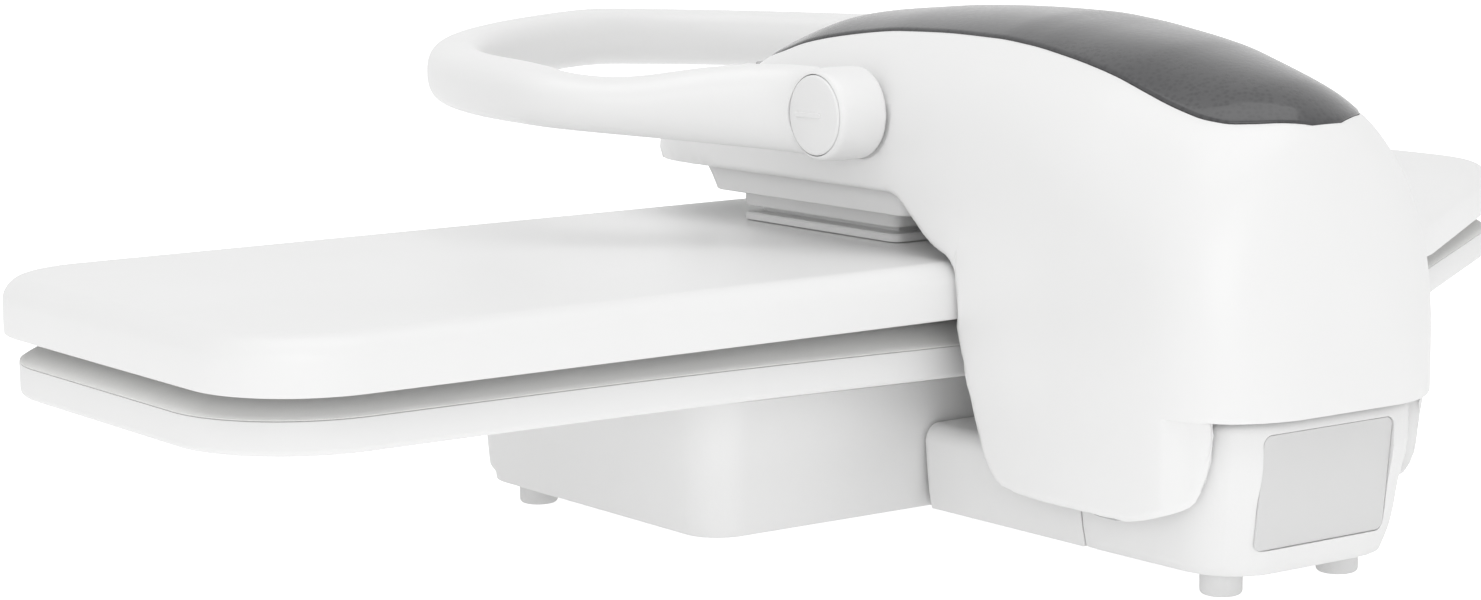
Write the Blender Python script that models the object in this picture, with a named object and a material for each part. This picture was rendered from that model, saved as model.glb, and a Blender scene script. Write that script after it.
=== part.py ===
# Table-top steam ironing press, closed.
# Metres, +Z up, -Y towards the handle, origin on the table under the middle of the press.
import math

import bmesh
import bpy
from mathutils import Matrix, Vector

for old in list(bpy.data.objects):
    bpy.data.objects.remove(old, do_unlink=True)

# Fits
GAP = 0.0003
RUNNING_GAP = 0.0006
OVERRUN = 0.010

# Upper plate
PLATE_LENGTH = 0.640
PLATE_DEPTH = 0.200
PLATE_CORNER = 0.0385
NOSE_START_SHARE = 0.264
NOSE_END_SHARE = 0.0
NOSE_REAR_RADIUS = 0.060
NOSE_SIDE_RADIUS = 0.055
PLATE_RIM_Z = 0.0800
PLATE_TOP_Z = 0.0987
PLATE_EDGE_RADIUS = 0.008
PLATE_WALL = 0.0028
SOLE_THICKNESS = 0.0055
SOLE_EDGE = 0.001
PLATE_FLOAT = 0.002

# How far the handle reaches in front of the plate's long middle line, and the arm behind the plate
HANDLE_REACH = 0.208
ARM_BEHIND_PLATE = 0.126

# Board
BOARD_SIDE_INSET = 0.007
BOARD_CORNER = 0.044
PAN_RIM_Z = 0.0609
PAN_TOP_Z = 0.0718
PAN_WALL = 0.0022
PAN_EDGE_RADIUS = 0.002
BOARD_PLATE_THICKNESS = 0.0015
COVER_THICKNESS = 0.0009
BOARD_TOP_Z = PLATE_RIM_Z - 0.0008
COVER_BEVEL = 0.0060
COVER_EDGE = 0.0030
SAG = 0.00265
SAG_WIDTH = 0.118
CROWN_DROP = 0.0008
CROWN_INSET_SHARES = (0.10, 0.20)

# Base
FOOT_RADIUS = 0.0069
FOOT_EDGE = 0.0012
BASE_Z = 0.0085
TRAY_THICKNESS = 0.0037
HOUSING_WALL = 0.0025
FRONT_HOUSING_LENGTH = 0.2696
FRONT_HOUSING_FRONT = 0.081
FRONT_HOUSING_REAR = 0.066
FRONT_HOUSING_CORNER = 0.0165
FRONT_HOUSING_DRAFT = 0.003
FRONT_LIP = 0.003
FRONT_LIP_Z = 0.0125
STEM_HALF = 0.0440
STEM_DRAFT = 0.004
MIDDLE_TOP_Z = 0.0385
MIDDLE_EDGE = 0.006
HULL_HEIGHT = 0.0485
REAR_HOUSING_BEHIND_PLATE = 0.046
REAR_HOUSING_LENGTH = 0.073
REAR_HOUSING_HALF = 0.0460
REAR_HOUSING_DRAFT = 0.0065
REAR_HOUSING_CORNER = 0.020
REAR_HOUSING_TOP_Z = 0.0615
REAR_HOUSING_EDGE = 0.006
# Up from the base's lower edge, and how much of the draft is spread there
HULL_SHARES = ((0.0, 0.0), (0.064, 0.15), (0.171, 0.36), (0.27, 0.485), (0.476, 0.667), (0.78, 1.0), (1.0, 1.0))
FRONT_FOOT_X = 0.118
FRONT_FOOT_REACH = 0.062
REAR_FOOT_X = 0.0261
REAR_FOOT_INSET = 0.0236
LABEL_WIDTH = 0.057
LABEL_HEIGHT = 0.0375
LABEL_THICKNESS = 0.0006
LABEL_DEPTH = 0.0004
LABEL_CORNER = 0.003
LABEL_X = 0.0018
LABEL_Z = 0.0360
SCREW_HEAD_RADIUS = 0.0038
SCREW_HEAD_HEIGHT = 0.0020
SCREW_RADIUS = 0.0018
SCREW_LENGTH = 0.012
SCREW_CLEARANCE = 0.0004
SCREW_INSET = 0.018
GLAND_RADIUS = 0.006
GLAND_FLANGE_RADIUS = 0.0085
GLAND_LENGTH = 0.014
GLAND_INSIDE = 0.004
GLAND_FLANGE_THICKNESS = 0.0025
GLAND_FLANGE_GAP = 0.0012
GLAND_BORE_RADIUS = 0.0032
GLAND_Z = 0.025
GLAND_BEHIND_HOUSING = 0.022
TERMINAL_LENGTH = 0.030
TERMINAL_DEPTH = 0.016
TERMINAL_HEIGHT = 0.012
TERMINAL_CORNER = 0.0015
TERMINAL_BEHIND_HOUSING = 0.044

# Hinge of the arm
HINGE_BEHIND_PLATE = 0.070
HINGE_Z = 0.036
SHAFT_RADIUS = 0.005
SHAFT_CHAMFER = 0.0006
BUSH_RADIUS = 0.008
BUSH_FLANGE = 0.0012
SPRING_WIRE_RADIUS = 0.00125
SPRING_INNER_START = 0.012
SPRING_LENGTH = 0.024
SPRING_TURNS = 5

# Arm
ARM_HALF = 0.055
ARM_WALL = 0.003
CROWN_Z = 0.180
SKIRT_Z = 0.119
NOSE_REACH = 0.098
NOSE_CURVE = 0.0485
NOSE_POWER = 2.2
REAR_CURVE = 0.0501
REAR_POWER = 3.5
PANEL_Z = 0.060
ARCH_HEIGHT = 0.040
ARCH_HEIGHT_REAR = 0.0663
ARCH_POWER = 2.4
ARCH_POWER_REAR = 2.0
ARCH_CHANGE_LENGTH = 0.106
ARCH_CHANGE_END = 0.007
LEG_CLEARANCE = 0.0016
LEG_CURVE_LENGTH = 0.0416
LEG_BOTTOM_Z = 0.0245
LEG_BOTTOM_BEHIND_PLATE = 0.041
LEG_BOTTOM_LENGTH = 0.038
LEG_HEEL_LENGTH = 0.0335
LEG_LEDGE = 0.003
LEG_LEDGE_START = 0.0165
LEG_LEDGE_LENGTH = 0.010
LEG_FLARE = 0.0035
FLARE_LENGTH = 0.048
FLARE_LOW_Z = 0.042
FLARE_FULL_Z = 0.066
FLARE_TOP_Z = 0.118
# Along the arm from the nose, and up from the table to the crown
CROWN_SHARES = (
    (0.0, 0.694), (0.0123, 0.733), (0.0309, 0.789), (0.0525, 0.850), (0.0802, 0.875),
    (0.1111, 0.894), (0.1605, 0.922), (0.2068, 0.944), (0.3025, 0.978), (0.3735, 0.989),
    (0.4414, 0.996), (0.5401, 1.0), (0.60, 0.999), (0.65, 0.992), (0.70, 0.981),
    (0.74, 0.972), (0.78, 0.961), (0.815, 0.947), (0.85, 0.932), (0.88, 0.918),
    (0.905, 0.904), (0.925, 0.888), (0.945, 0.866), (0.96, 0.842), (0.972, 0.808),
    (0.982, 0.751), (0.99, 0.677), (0.995, 0.613), (1.0, 0.532),
)
# Leg's front edge, from the skirt down to the plate and from the plate's rim down to the bottom, and its heel
SHOULDER_SHARES = ((0.12, 0.93), (0.31, 0.60), (0.55, 0.24), (0.77, 0.08))
FOOT_CURVE_SHARES = ((0.065, 0.82), (0.125, 0.64), (0.165, 0.405), (0.27, 0.17), (0.50, 0.03))
HEEL_SHARES = (
    (0.28, 0.05), (0.49, 0.11), (0.68, 0.18), (0.79, 0.256), (0.855, 0.346),
    (0.913, 0.473), (0.958, 0.642), (0.983, 0.823),
)

# Frame inside the arm
FRAME_THICKNESS = 0.0025
FRAME_HALF = 0.0485
WEB_TOP_GAP = 0.0003
FRAME_NOSE_REACH = 0.046
FRAME_TOP_Z = 0.134
FRAME_HINGE_RADIUS = 0.0135
FRAME_LUG_RADIUS = 0.008
FRAME_LUG_CORNER = 0.0064
FRAME_EDGE_RADIUS = 0.004

# Underside of the arm
UNDER_HALF = 0.0485
UNDER_FRONT = 0.049
UNDER_REAR = 0.063
UNDER_SLANT = 0.002
UNDER_CORNER = 0.008
UNDER_TOP_Z = 0.1185
UNDER_Z = 0.110
FLANGE_Z = 0.1042
FLANGE_HALF = 0.0405
FLANGE_FRONT = 0.042
FLANGE_REAR = 0.048
FLANGE_CORNER = 0.009
FLANGE_WALL = 0.0045
INNER_COVER_THICKNESS = 0.002
INNER_COVER_END_Z = 0.063

# Neck on the plate
NECK_FLANGE_HEIGHT = 0.0028
NECK_CLEARANCE = 0.0012
NECK_TOP_Z = 0.1095
NECK_BOSS_RADIUS = 0.0085
NECK_BOSS_Z = 0.1140
PRESSURE_WIRE_RADIUS = 0.0011
PRESSURE_TURNS = 3

# Inside the plate
ELEMENT_RADIUS = 0.0035
ELEMENT_LENGTH_SHARE = 0.80
ELEMENT_SHIFT_SHARE = 0.03
ELEMENT_DEPTH_SHARE = 0.46
ELEMENT_OPENING = 0.070
THERMOSTAT_RADIUS = 0.011
THERMOSTAT_HEIGHT = 0.0085
THERMOSTAT_X = 0.045
FUSE_RADIUS = 0.0028
FUSE_LENGTH = 0.018
INLET_RADIUS = 0.0055
INLET_BORE = 0.0030

# Water tank and its smoked cover
TEAR_FRONT = 0.081
TEAR_FROM_END = 0.0118
TEAR_HALF = 0.045
TEAR_GAP = 0.0004
SMOKED_THICKNESS = 0.0026
# Along the cover from the nose, and its half width there
TEAR_SHARES = (
    (0.004, 0.07), (0.020, 0.20), (0.07, 0.42), (0.14, 0.67), (0.19, 0.83), (0.225, 0.90), (0.265, 0.88),
    (0.31, 0.82), (0.36, 0.78), (0.43, 0.775), (0.505, 0.78), (0.61, 0.79), (0.745, 0.785), (0.86, 0.78),
    (0.915, 0.765), (0.945, 0.70), (0.968, 0.58), (0.984, 0.42), (0.994, 0.25), (0.999, 0.10),
)
TANK_HALF = 0.030
TANK_FRONT = 0.025
TANK_BEHIND_VALVE = 0.016
TANK_TOP_Z = 0.161
TANK_WALL = 0.002
TANK_CORNER = 0.010
VALVE_RADIUS = 0.007
VALVE_HEIGHT = 0.012
VALVE_BEHIND_PLATE = 0.034
PUMP_HALF = 0.020
PUMP_DEPTH = 0.032
PUMP_HEIGHT = 0.024
PUMP_CORNER = 0.004
PUMP_BRACKET_THICKNESS = 0.0022
PIPE_RADIUS = 0.0030
PIPE_X = 0.038
PIPE_Z = 0.0265
PIPE_END_REACH = 0.006

# Control panel on the nose
PANEL_TILT = math.radians(63)
PANEL_SINK = 0.0025
PANEL_MIDDLE_Z = 0.1365
PANEL_WIDTH = 0.056
PANEL_HEIGHT = 0.023
PANEL_THICKNESS = 0.004
PANEL_CORNER = 0.003
WINDOW_WIDTH = 0.026
WINDOW_HEIGHT = 0.0075
WINDOW_THICKNESS = 0.001
WINDOW_CORNER = 0.001
WINDOW_UP = 0.0055
BUTTON_RADIUS = 0.0033
BUTTON_LENGTH = 0.0064
BUTTON_PROUD = 0.0016
BUTTON_EDGE = 0.0006
BUTTON_DOWN = 0.0052
BUTTON_PITCH = 0.0125
BOARD_CARD_THICKNESS = 0.0016
BOARD_CARD_GAP = 0.0032

# Handle
HUB_REACH = 0.047
HUB_Z = 0.1455
HUB_RADIUS = 0.016
HUB_END = 0.068
CAP_RADIUS = 0.0137
CAP_END = 0.076
CAP_EDGE = 0.002
PIN_RADIUS = 0.004
PIN_END = 0.0665
HANDLE_START_X = 0.0617
HANDLE_HALF = 0.1304
HANDLE_BEND_REACH = 0.0387
HANDLE_BEND_HALF = 0.1265
HANDLE_MIDDLE_Z = 0.1504
HANDLE_FRONT_Z = 0.1550
HANDLE_START_WIDTH = 0.0112
HANDLE_WIDTH = 0.0225
HANDLE_FRONT_WIDTH = 0.0190
HANDLE_START_HEIGHT = 0.0270
HANDLE_HEIGHT = 0.0218
HANDLE_FRONT_HEIGHT = 0.0228
HANDLE_POWER = 2.6
HANDLE_END_BEFORE_HUB = 0.011
# Along the loop from a hub to its middle: where the width and the height change
HANDLE_SWELL_SHARE = 0.25
HANDLE_TALL_START_SHARE = 0.05
HANDLE_TALL_END_SHARE = 0.35
HANDLE_FRONT_START_SHARE = 0.45
HANDLE_FRONT_END_SHARE = 0.85

# Facets
ROUND = 20
SMALL_ROUND = 14
CORNER_STEPS = 5


def material(name, colour, roughness, metallic=0.0, alpha=1.0):
    made = bpy.data.materials.new(name)
    made.use_nodes = True
    shader = made.node_tree.nodes["Principled BSDF"]
    shader.inputs["Base Color"].default_value = (*colour, 1.0)
    shader.inputs["Roughness"].default_value = roughness
    shader.inputs["Metallic"].default_value = metallic
    shader.inputs["Alpha"].default_value = alpha
    return made


WHITE = (0.86, 0.86, 0.86)
PAD_WHITE = (0.80, 0.80, 0.79)
STEEL = (0.55, 0.55, 0.56)
ALUMINIUM = (0.72, 0.72, 0.73)
SMOKED = (0.10, 0.10, 0.105)
RUBBER = (0.78, 0.78, 0.78)
DARK = (0.05, 0.05, 0.055)
BRASS = (0.72, 0.55, 0.26)
GREEN = (0.03, 0.20, 0.08)
CLEAR = (0.80, 0.85, 0.88)
LABEL = (0.70, 0.70, 0.70)
FOAM = (0.78, 0.74, 0.60)


# Places behind the plate
PLATE_HALF = PLATE_DEPTH / 2
ARM_REACH = PLATE_HALF + ARM_BEHIND_PLATE
PLATE_Y = (HANDLE_REACH - ARM_REACH) / 2
HINGE_REACH = PLATE_HALF + HINGE_BEHIND_PLATE
REAR_HOUSING_FRONT = PLATE_HALF + REAR_HOUSING_BEHIND_PLATE
REAR_HOUSING_REAR = REAR_HOUSING_FRONT + REAR_HOUSING_LENGTH
VALVE_REACH = PLATE_HALF + VALVE_BEHIND_PLATE
TANK_REAR = VALVE_REACH + TANK_BEHIND_VALVE
TEAR_REAR = ARM_REACH - TEAR_FROM_END


def along(reach):
    return PLATE_Y + reach


def lerp(low, high, share):
    return low + (high - low) * share


def smooth(low, high, value):
    share = min(1.0, max(0.0, (value - low) / (high - low)))
    return share * share * (3 - 2 * share)


def table_value(pairs, value):
    if value <= pairs[0][0]:
        return pairs[0][1]
    for (a, low), (b, high) in zip(pairs, pairs[1:]):
        if value <= b:
            return lerp(low, high, (value - a) / (b - a))
    return pairs[-1][1]


def finish(name, bm, look, origin=(0, 0, 0), sharp=35):
    bmesh.ops.recalc_face_normals(bm, faces=bm.faces)
    mesh = bpy.data.meshes.new(name)
    bm.to_mesh(mesh)
    bm.free()
    mesh.transform(Matrix.Translation(-Vector(origin)))
    mesh.materials.append(look)
    mesh.shade_smooth()
    mesh.set_sharp_from_angle(angle=math.radians(sharp))
    made = bpy.data.objects.new(name, mesh)
    made.location = origin
    bpy.context.scene.collection.objects.link(made)
    return made


def as_cutter(made):
    made.hide_render = True
    made.display_type = "WIRE"
    return made


def boolean(target, other, operation="DIFFERENCE"):
    cut = target.modifiers.new(other.name, "BOOLEAN")
    cut.operation = operation
    cut.solver = "EXACT"
    cut.object = other


def skin(bm, rings, closed=True, cyclic=False):
    count = len(rings[0])
    last = count if closed else count - 1
    pairs = list(zip(rings, rings[1:]))
    if cyclic:
        pairs.append((rings[-1], rings[0]))
    for low, high in pairs:
        for i in range(last):
            j = (i + 1) % count
            bm.faces.new((low[i], low[j], high[j], high[i]))


def zip_across(bm, ring):
    # Closes a long ring with triangles across it, so that the face follows a bow along X.
    right = max(range(len(ring)), key=lambda i: ring[i].co.x)
    ring = ring[right:] + ring[:right]
    left = min(range(len(ring)), key=lambda i: ring[i].co.x)
    far = ring[:left + 1]
    near = [ring[0]] + list(reversed(ring[left:]))
    a = 0
    b = 0
    while a < len(far) - 1 or b < len(near) - 1:
        step_far = b == len(near) - 1 or (a < len(far) - 1 and far[a + 1].co.x > near[b + 1].co.x)
        corner = far[a + 1] if step_far else near[b + 1]
        if len({far[a], near[b], corner}) == 3:
            bm.faces.new((far[a], corner, near[b]))
        a += step_far
        b += not step_far


def loft(name, rings, look, cyclic=False, zipped=False, **options):
    bm = bmesh.new()
    made = [[bm.verts.new(point) for point in ring] for ring in rings]
    skin(bm, made, cyclic=cyclic)
    if not cyclic:
        for ring in (made[0], made[-1]):
            if zipped:
                zip_across(bm, ring)
            else:
                bm.faces.new(ring)
    bmesh.ops.remove_doubles(bm, verts=bm.verts, dist=GAP / 100)
    return finish(name, bm, look, **options)


def filleted(corners, inset=0.0, steps=CORNER_STEPS, longest=None):
    count = len(corners)
    lines = []
    for i in range(count):
        start = Vector(corners[i][:2])
        end = Vector(corners[(i + 1) % count][:2])
        along_edge = (end - start).normalized()
        normal = Vector((-along_edge.y, along_edge.x))
        lines.append((start + normal * inset, along_edge))
    places = []
    for i in range(count):
        (a, u), (b, v) = lines[i - 1], lines[i]
        cross = u.x * v.y - u.y * v.x
        offset = b - a
        places.append((a + u * ((offset.x * v.y - offset.y * v.x) / cross), cross))
    points = []
    for i in range(count):
        place, cross = places[i]
        back = (places[i - 1][0] - place).normalized()
        ahead = (places[(i + 1) % count][0] - place).normalized()
        half = math.acos(max(-1.0, min(1.0, back.dot(ahead)))) / 2
        radius = max(corners[i][2] - inset if cross > 0 else corners[i][2] + inset, GAP)
        centre = place + (back + ahead).normalized() * (radius / math.sin(half))
        tangent = radius / math.tan(half)
        first = place + back * tangent - centre
        turn = math.pi - 2 * half
        if cross < 0:
            turn = -turn
        for k in range(steps + 1):
            swung = Matrix.Rotation(turn * k / steps, 2) @ first
            points.append(centre + swung)
    if longest is None:
        return [(p.x, p.y) for p in points]
    filled = []
    for i, point in enumerate(points):
        after = points[(i + 1) % len(points)]
        filled.append((point.x, point.y))
        if i % (steps + 1) == steps:
            run = corners[(i // (steps + 1) + 1) % count][0] - corners[i // (steps + 1)][0]
            parts = max(1, round(abs(run) / longest))
            for k in range(1, parts):
                middle = point.lerp(after, k / parts)
                filled.append((middle.x, middle.y))
    return filled


def box_corners(x0, y0, x1, y1, radius):
    return [(x0, y0, radius), (x1, y0, radius), (x1, y1, radius), (x0, y1, radius)]


def stack(name, corners, levels, look, steps=CORNER_STEPS, longest=None, shift=None, cyclic=False, **options):
    rings = []
    for z, inset in levels:
        ring = [(x, y, z) for x, y in filleted(corners, inset, steps, longest)]
        rings.append([shift(point) for point in ring] if shift else ring)
    return loft(name, rings, look, cyclic=cyclic, zipped=shift is not None, **options)


def quarter(radius, steps=3):
    arc = []
    for k in range(1, steps + 1):
        angle = math.pi / 2 * k / steps
        arc.append((radius * math.sin(angle), radius * (1 - math.cos(angle))))
    return arc


def turned(name, profile, look, axis, centre, count=ROUND, **options):
    # Profile of (radius, distance along the axis), turned about the axis; a bore makes it a ring.
    turn = Vector((0, 0, 1)).rotation_difference(Vector(axis)).to_matrix().to_4x4()
    place = Matrix.Translation(Vector(centre)) @ turn
    bm = bmesh.new()
    rings = []
    for radius, distance in profile:
        if radius == 0:
            rings.append([bm.verts.new(place @ Vector((0, 0, distance)))])
            continue
        ring = []
        for k in range(count):
            angle = 2 * math.pi * (k + 0.5) / count
            ring.append(bm.verts.new(place @ Vector((radius * math.cos(angle), radius * math.sin(angle), distance))))
        rings.append(ring)
    pairs = list(zip(rings, rings[1:]))
    if profile[0][0] != 0:
        pairs.append((rings[-1], rings[0]))
    for low, high in pairs:
        for i in range(count):
            j = (i + 1) % count
            if len(low) == 1:
                bm.faces.new((low[0], high[j], high[i]))
            elif len(high) == 1:
                bm.faces.new((low[i], low[j], high[0]))
            else:
                bm.faces.new((low[i], low[j], high[j], high[i]))
    return finish(name, bm, look, **options)


def rod(name, look, axis, centre, radius, length, edge=0.0, count=ROUND, **options):
    profile = [(0, 0)]
    if edge:
        profile += [(radius - edge, 0), (radius, edge), (radius, length - edge), (radius - edge, length)]
    else:
        profile += [(radius, 0), (radius, length)]
    profile.append((0, length))
    return turned(name, profile, look, axis, centre, count, **options)


def sweep(name, points, section, look, **options):
    # Section is a function of the place along the path that gives offsets across and up.
    bm = bmesh.new()
    rings = []
    places = [Vector(point) for point in points]
    up = None
    for i, place in enumerate(places):
        ahead = places[min(i + 1, len(places) - 1)] - places[max(i - 1, 0)]
        ahead.normalize()
        if up is None:
            up = Vector((0, 0, 1)) if abs(ahead.z) < 0.9 else Vector((0, 1, 0))
        up = (up - ahead * up.dot(ahead)).normalized()
        across = ahead.cross(up)
        ring = []
        for side, rise in section(i / (len(places) - 1)):
            ring.append(bm.verts.new(place + across * side + up * rise))
        rings.append(ring)
    skin(bm, rings)
    bm.faces.new(rings[0])
    bm.faces.new(rings[-1])
    return finish(name, bm, look, **options)


def round_section(radius, count=8):
    ring = []
    for k in range(count):
        angle = 2 * math.pi * k / count
        ring.append((radius * math.cos(angle), radius * math.sin(angle)))
    return lambda share: ring


def curve_through(points, steps):
    # Smooth curve through the points, with the end points kept.
    places = [Vector(point) for point in points]
    ends = [places[0] * 2 - places[1]] + places + [places[-1] * 2 - places[-2]]
    out = []
    for a, b, c, d in zip(ends, ends[1:], ends[2:], ends[3:]):
        for k in range(steps):
            t = k / steps
            spot = (b * 2 + (c - a) * t + (a * 2 - b * 5 + c * 4 - d) * t ** 2
                    + (b * 3 - a - c * 3 + d) * t ** 3) / 2
            out.append(spot)
    out.append(places[-1])
    return out


# Outline of the plate, seen from above; the board's is the same with a margin
PLATE_CORNERS = [
    (PLATE_LENGTH / 2, along(-PLATE_DEPTH / 2), PLATE_CORNER),
    (PLATE_LENGTH / 2, along(PLATE_DEPTH / 2), PLATE_CORNER),
    (-PLATE_LENGTH * NOSE_START_SHARE, along(PLATE_DEPTH / 2), NOSE_REAR_RADIUS),
    (-PLATE_LENGTH / 2, along(PLATE_DEPTH * NOSE_END_SHARE), NOSE_SIDE_RADIUS),
    (-PLATE_LENGTH / 2, along(-PLATE_DEPTH / 2), PLATE_CORNER),
]
BOARD_HALF = PLATE_HALF - BOARD_SIDE_INSET
BOARD_CORNERS = [
    (PLATE_LENGTH / 2, along(-BOARD_HALF), BOARD_CORNER),
    (PLATE_LENGTH / 2, along(BOARD_HALF), BOARD_CORNER),
    (-PLATE_LENGTH * NOSE_START_SHARE, along(BOARD_HALF), NOSE_REAR_RADIUS),
    (-PLATE_LENGTH / 2, along(PLATE_DEPTH * NOSE_END_SHARE), NOSE_SIDE_RADIUS),
    (-PLATE_LENGTH / 2, along(-BOARD_HALF), BOARD_CORNER),
]
BOARD_STEP = PLATE_LENGTH / 12

# Base: tray, housings, feet and screws
TRAY_TOP_Z = BASE_Z + TRAY_THICKNESS
FRONT_HALF = FRONT_HOUSING_LENGTH / 2
FRONT_TOP_Z = PAN_RIM_Z - GAP
tray_inset = HOUSING_WALL + 2 * GAP
tray_front_half = FRONT_HALF - FRONT_HOUSING_DRAFT - tray_inset
tray_front = along(tray_inset + FRONT_HOUSING_DRAFT - FRONT_HOUSING_FRONT)
tray_middle = along(FRONT_HOUSING_REAR - FRONT_HOUSING_DRAFT - tray_inset)
tray_stem_half = STEM_HALF - STEM_DRAFT - tray_inset
tray_rear = REAR_HOUSING_REAR - REAR_HOUSING_DRAFT - tray_inset
front_tray_corner = FRONT_HOUSING_CORNER - FRONT_HOUSING_DRAFT - tray_inset
rear_tray_corner = REAR_HOUSING_CORNER - tray_inset
tray_corners = [
    (-tray_front_half, tray_front, front_tray_corner),
    (tray_front_half, tray_front, front_tray_corner),
    (tray_front_half, tray_middle, front_tray_corner),
    (tray_stem_half, tray_middle, tray_inset),
    (tray_stem_half, along(tray_rear), rear_tray_corner),
    (-tray_stem_half, along(tray_rear), rear_tray_corner),
    (-tray_stem_half, tray_middle, tray_inset),
    (-tray_front_half, tray_middle, front_tray_corner),
]
white_plastic = material("tray_white", WHITE, 0.45)
tray = stack("base_tray", tray_corners, [(BASE_Z, 0.0), (TRAY_TOP_Z, 0.0)], white_plastic, steps=3)
tray_pocket = as_cutter(stack("tray_pocket", tray_corners, [(BASE_Z - OVERRUN, -GAP), (TRAY_TOP_Z + GAP, -GAP)],
                              white_plastic, steps=3))


def sag(x):
    return SAG * math.exp(-(x / SAG_WIDTH) ** 2)


def sagged(point):
    # The board hangs lower over the middle of the base, and the front housing's top follows it.
    x, y, z = point
    return (x, y, z - sag(x) * smooth(BASE_Z, FRONT_TOP_Z - HOUSING_WALL, z))


def front_shape(point):
    x, y, z = sagged(point)
    return (x, y - FRONT_LIP if y < PLATE_Y and point[2] > FRONT_LIP_Z else y, z)


def hull(z):
    return table_value(HULL_SHARES, (z - BASE_Z) / HULL_HEIGHT)


HULL_LEVELS = [BASE_Z + HULL_HEIGHT * share for share, spread in HULL_SHARES]
front_corners = box_corners(-FRONT_HALF, along(-FRONT_HOUSING_FRONT),
                            FRONT_HALF, along(FRONT_HOUSING_REAR), FRONT_HOUSING_CORNER)
front_draft = [(z, FRONT_HOUSING_DRAFT * (1 - hull(z))) for z in HULL_LEVELS[:-1]]
front_draft.insert(2, (FRONT_LIP_Z + GAP, FRONT_HOUSING_DRAFT * (1 - hull(FRONT_LIP_Z))))
front_levels = [(FRONT_TOP_Z - HOUSING_WALL, HOUSING_WALL)]
front_levels += [(z, inset + HOUSING_WALL) for z, inset in reversed(front_draft)]
front_levels += front_draft + [(FRONT_TOP_Z, 0.0)]
front = stack("front_housing", front_corners, front_levels, material("front_housing_white", WHITE, 0.40),
              longest=BOARD_STEP, shift=front_shape)
boolean(front, tray_pocket)


def stem_profile(shoulder_z, inset, arc):
    # Across the stem: drafted sides up to the shoulder, then the rounded edges, moved in by the inset.
    sides = [z for z in HULL_LEVELS if z < shoulder_z - GAP] + [shoulder_z]
    right = [(STEM_HALF - STEM_DRAFT * (1 - hull(z)) - inset, z) for z in sides]
    top = [(right[-1][0] - side, shoulder_z + rise) for rise, side in arc[1:]]
    half = right + top
    return half + [(-x, z) for x, z in reversed(half)]


def side_rounded(name, y0, y1, z1, edge, wall, look):
    # A channel along Y, open below, with drafted sides and rounded upper edges, and its ends closed.
    arc = [(0, 0)] + quarter(edge)
    outer, inner = (stem_profile(z1 - edge - inset, inset, arc) for inset in (0, wall))
    bm = bmesh.new()
    inner_front = [bm.verts.new((x, y0 + wall, z)) for x, z in inner]
    outer_front = [bm.verts.new((x, y0, z)) for x, z in outer]
    outer_rear = [bm.verts.new((x, y1, z)) for x, z in outer]
    inner_rear = [bm.verts.new((x, y1 - wall, z)) for x, z in inner]
    skin(bm, [outer_front, outer_rear], closed=False)
    skin(bm, [inner_rear, inner_front], closed=False)
    for ring in (inner_front, outer_front, outer_rear, inner_rear):
        bm.faces.new(ring)
    for end in (0, -1):
        bm.faces.new((outer_front[end], outer_rear[end], inner_rear[end], inner_front[end]))
    bm.faces.new((outer_front[0], outer_front[-1], inner_front[-1], inner_front[0]))
    bm.faces.new((outer_rear[0], outer_rear[-1], inner_rear[-1], inner_rear[0]))
    return finish(name, bm, look)


middle = side_rounded("middle_housing", along(FRONT_HOUSING_REAR + GAP), along(REAR_HOUSING_FRONT - GAP),
                      MIDDLE_TOP_Z, MIDDLE_EDGE, HOUSING_WALL, material("middle_housing_white", WHITE, 0.40))
boolean(middle, tray_pocket)


def rear_corners(z):
    # The plan spreads with the height, more at the rear than where it meets the middle housing.
    left = 1 - hull(z)
    front_half = STEM_HALF - STEM_DRAFT * left
    rear_half = REAR_HOUSING_HALF - REAR_HOUSING_DRAFT * left
    front_y = along(REAR_HOUSING_FRONT)
    rear_y = along(REAR_HOUSING_REAR - REAR_HOUSING_DRAFT * left)
    return [
        (-front_half, front_y, GAP * 4),
        (front_half, front_y, GAP * 4),
        (rear_half, rear_y, REAR_HOUSING_CORNER),
        (-rear_half, rear_y, REAR_HOUSING_CORNER),
    ]


def level(corners, z, inset=0.0):
    return [(x, y, z) for x, y in filleted(corners, inset)]


rear_shoulder = REAR_HOUSING_TOP_Z - REAR_HOUSING_EDGE
rear_sides = [z for z in HULL_LEVELS if z < rear_shoulder - GAP]
rear_rings = [(REAR_HOUSING_TOP_Z - HOUSING_WALL, REAR_HOUSING_EDGE), (rear_shoulder, HOUSING_WALL)]
rear_rings += [(z, HOUSING_WALL) for z in reversed(rear_sides)]
rear_rings += [(z, 0.0) for z in rear_sides] + [(rear_shoulder, 0.0)]
rear_rings += [(rear_shoulder + rise, inset) for rise, inset in quarter(REAR_HOUSING_EDGE)]
rear = loft("rear_housing", [level(rear_corners(z), z, inset) for z, inset in rear_rings],
            material("rear_housing_white", WHITE, 0.40))
shaft_hole = as_cutter(rod("shaft_hole", white_plastic, (1, 0, 0),
                           (-REAR_HOUSING_HALF - OVERRUN, along(HINGE_REACH), HINGE_Z),
                           SHAFT_RADIUS + GAP, 2 * (REAR_HOUSING_HALF + OVERRUN)))
boolean(rear, shaft_hole)
boolean(rear, tray_pocket)

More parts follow.
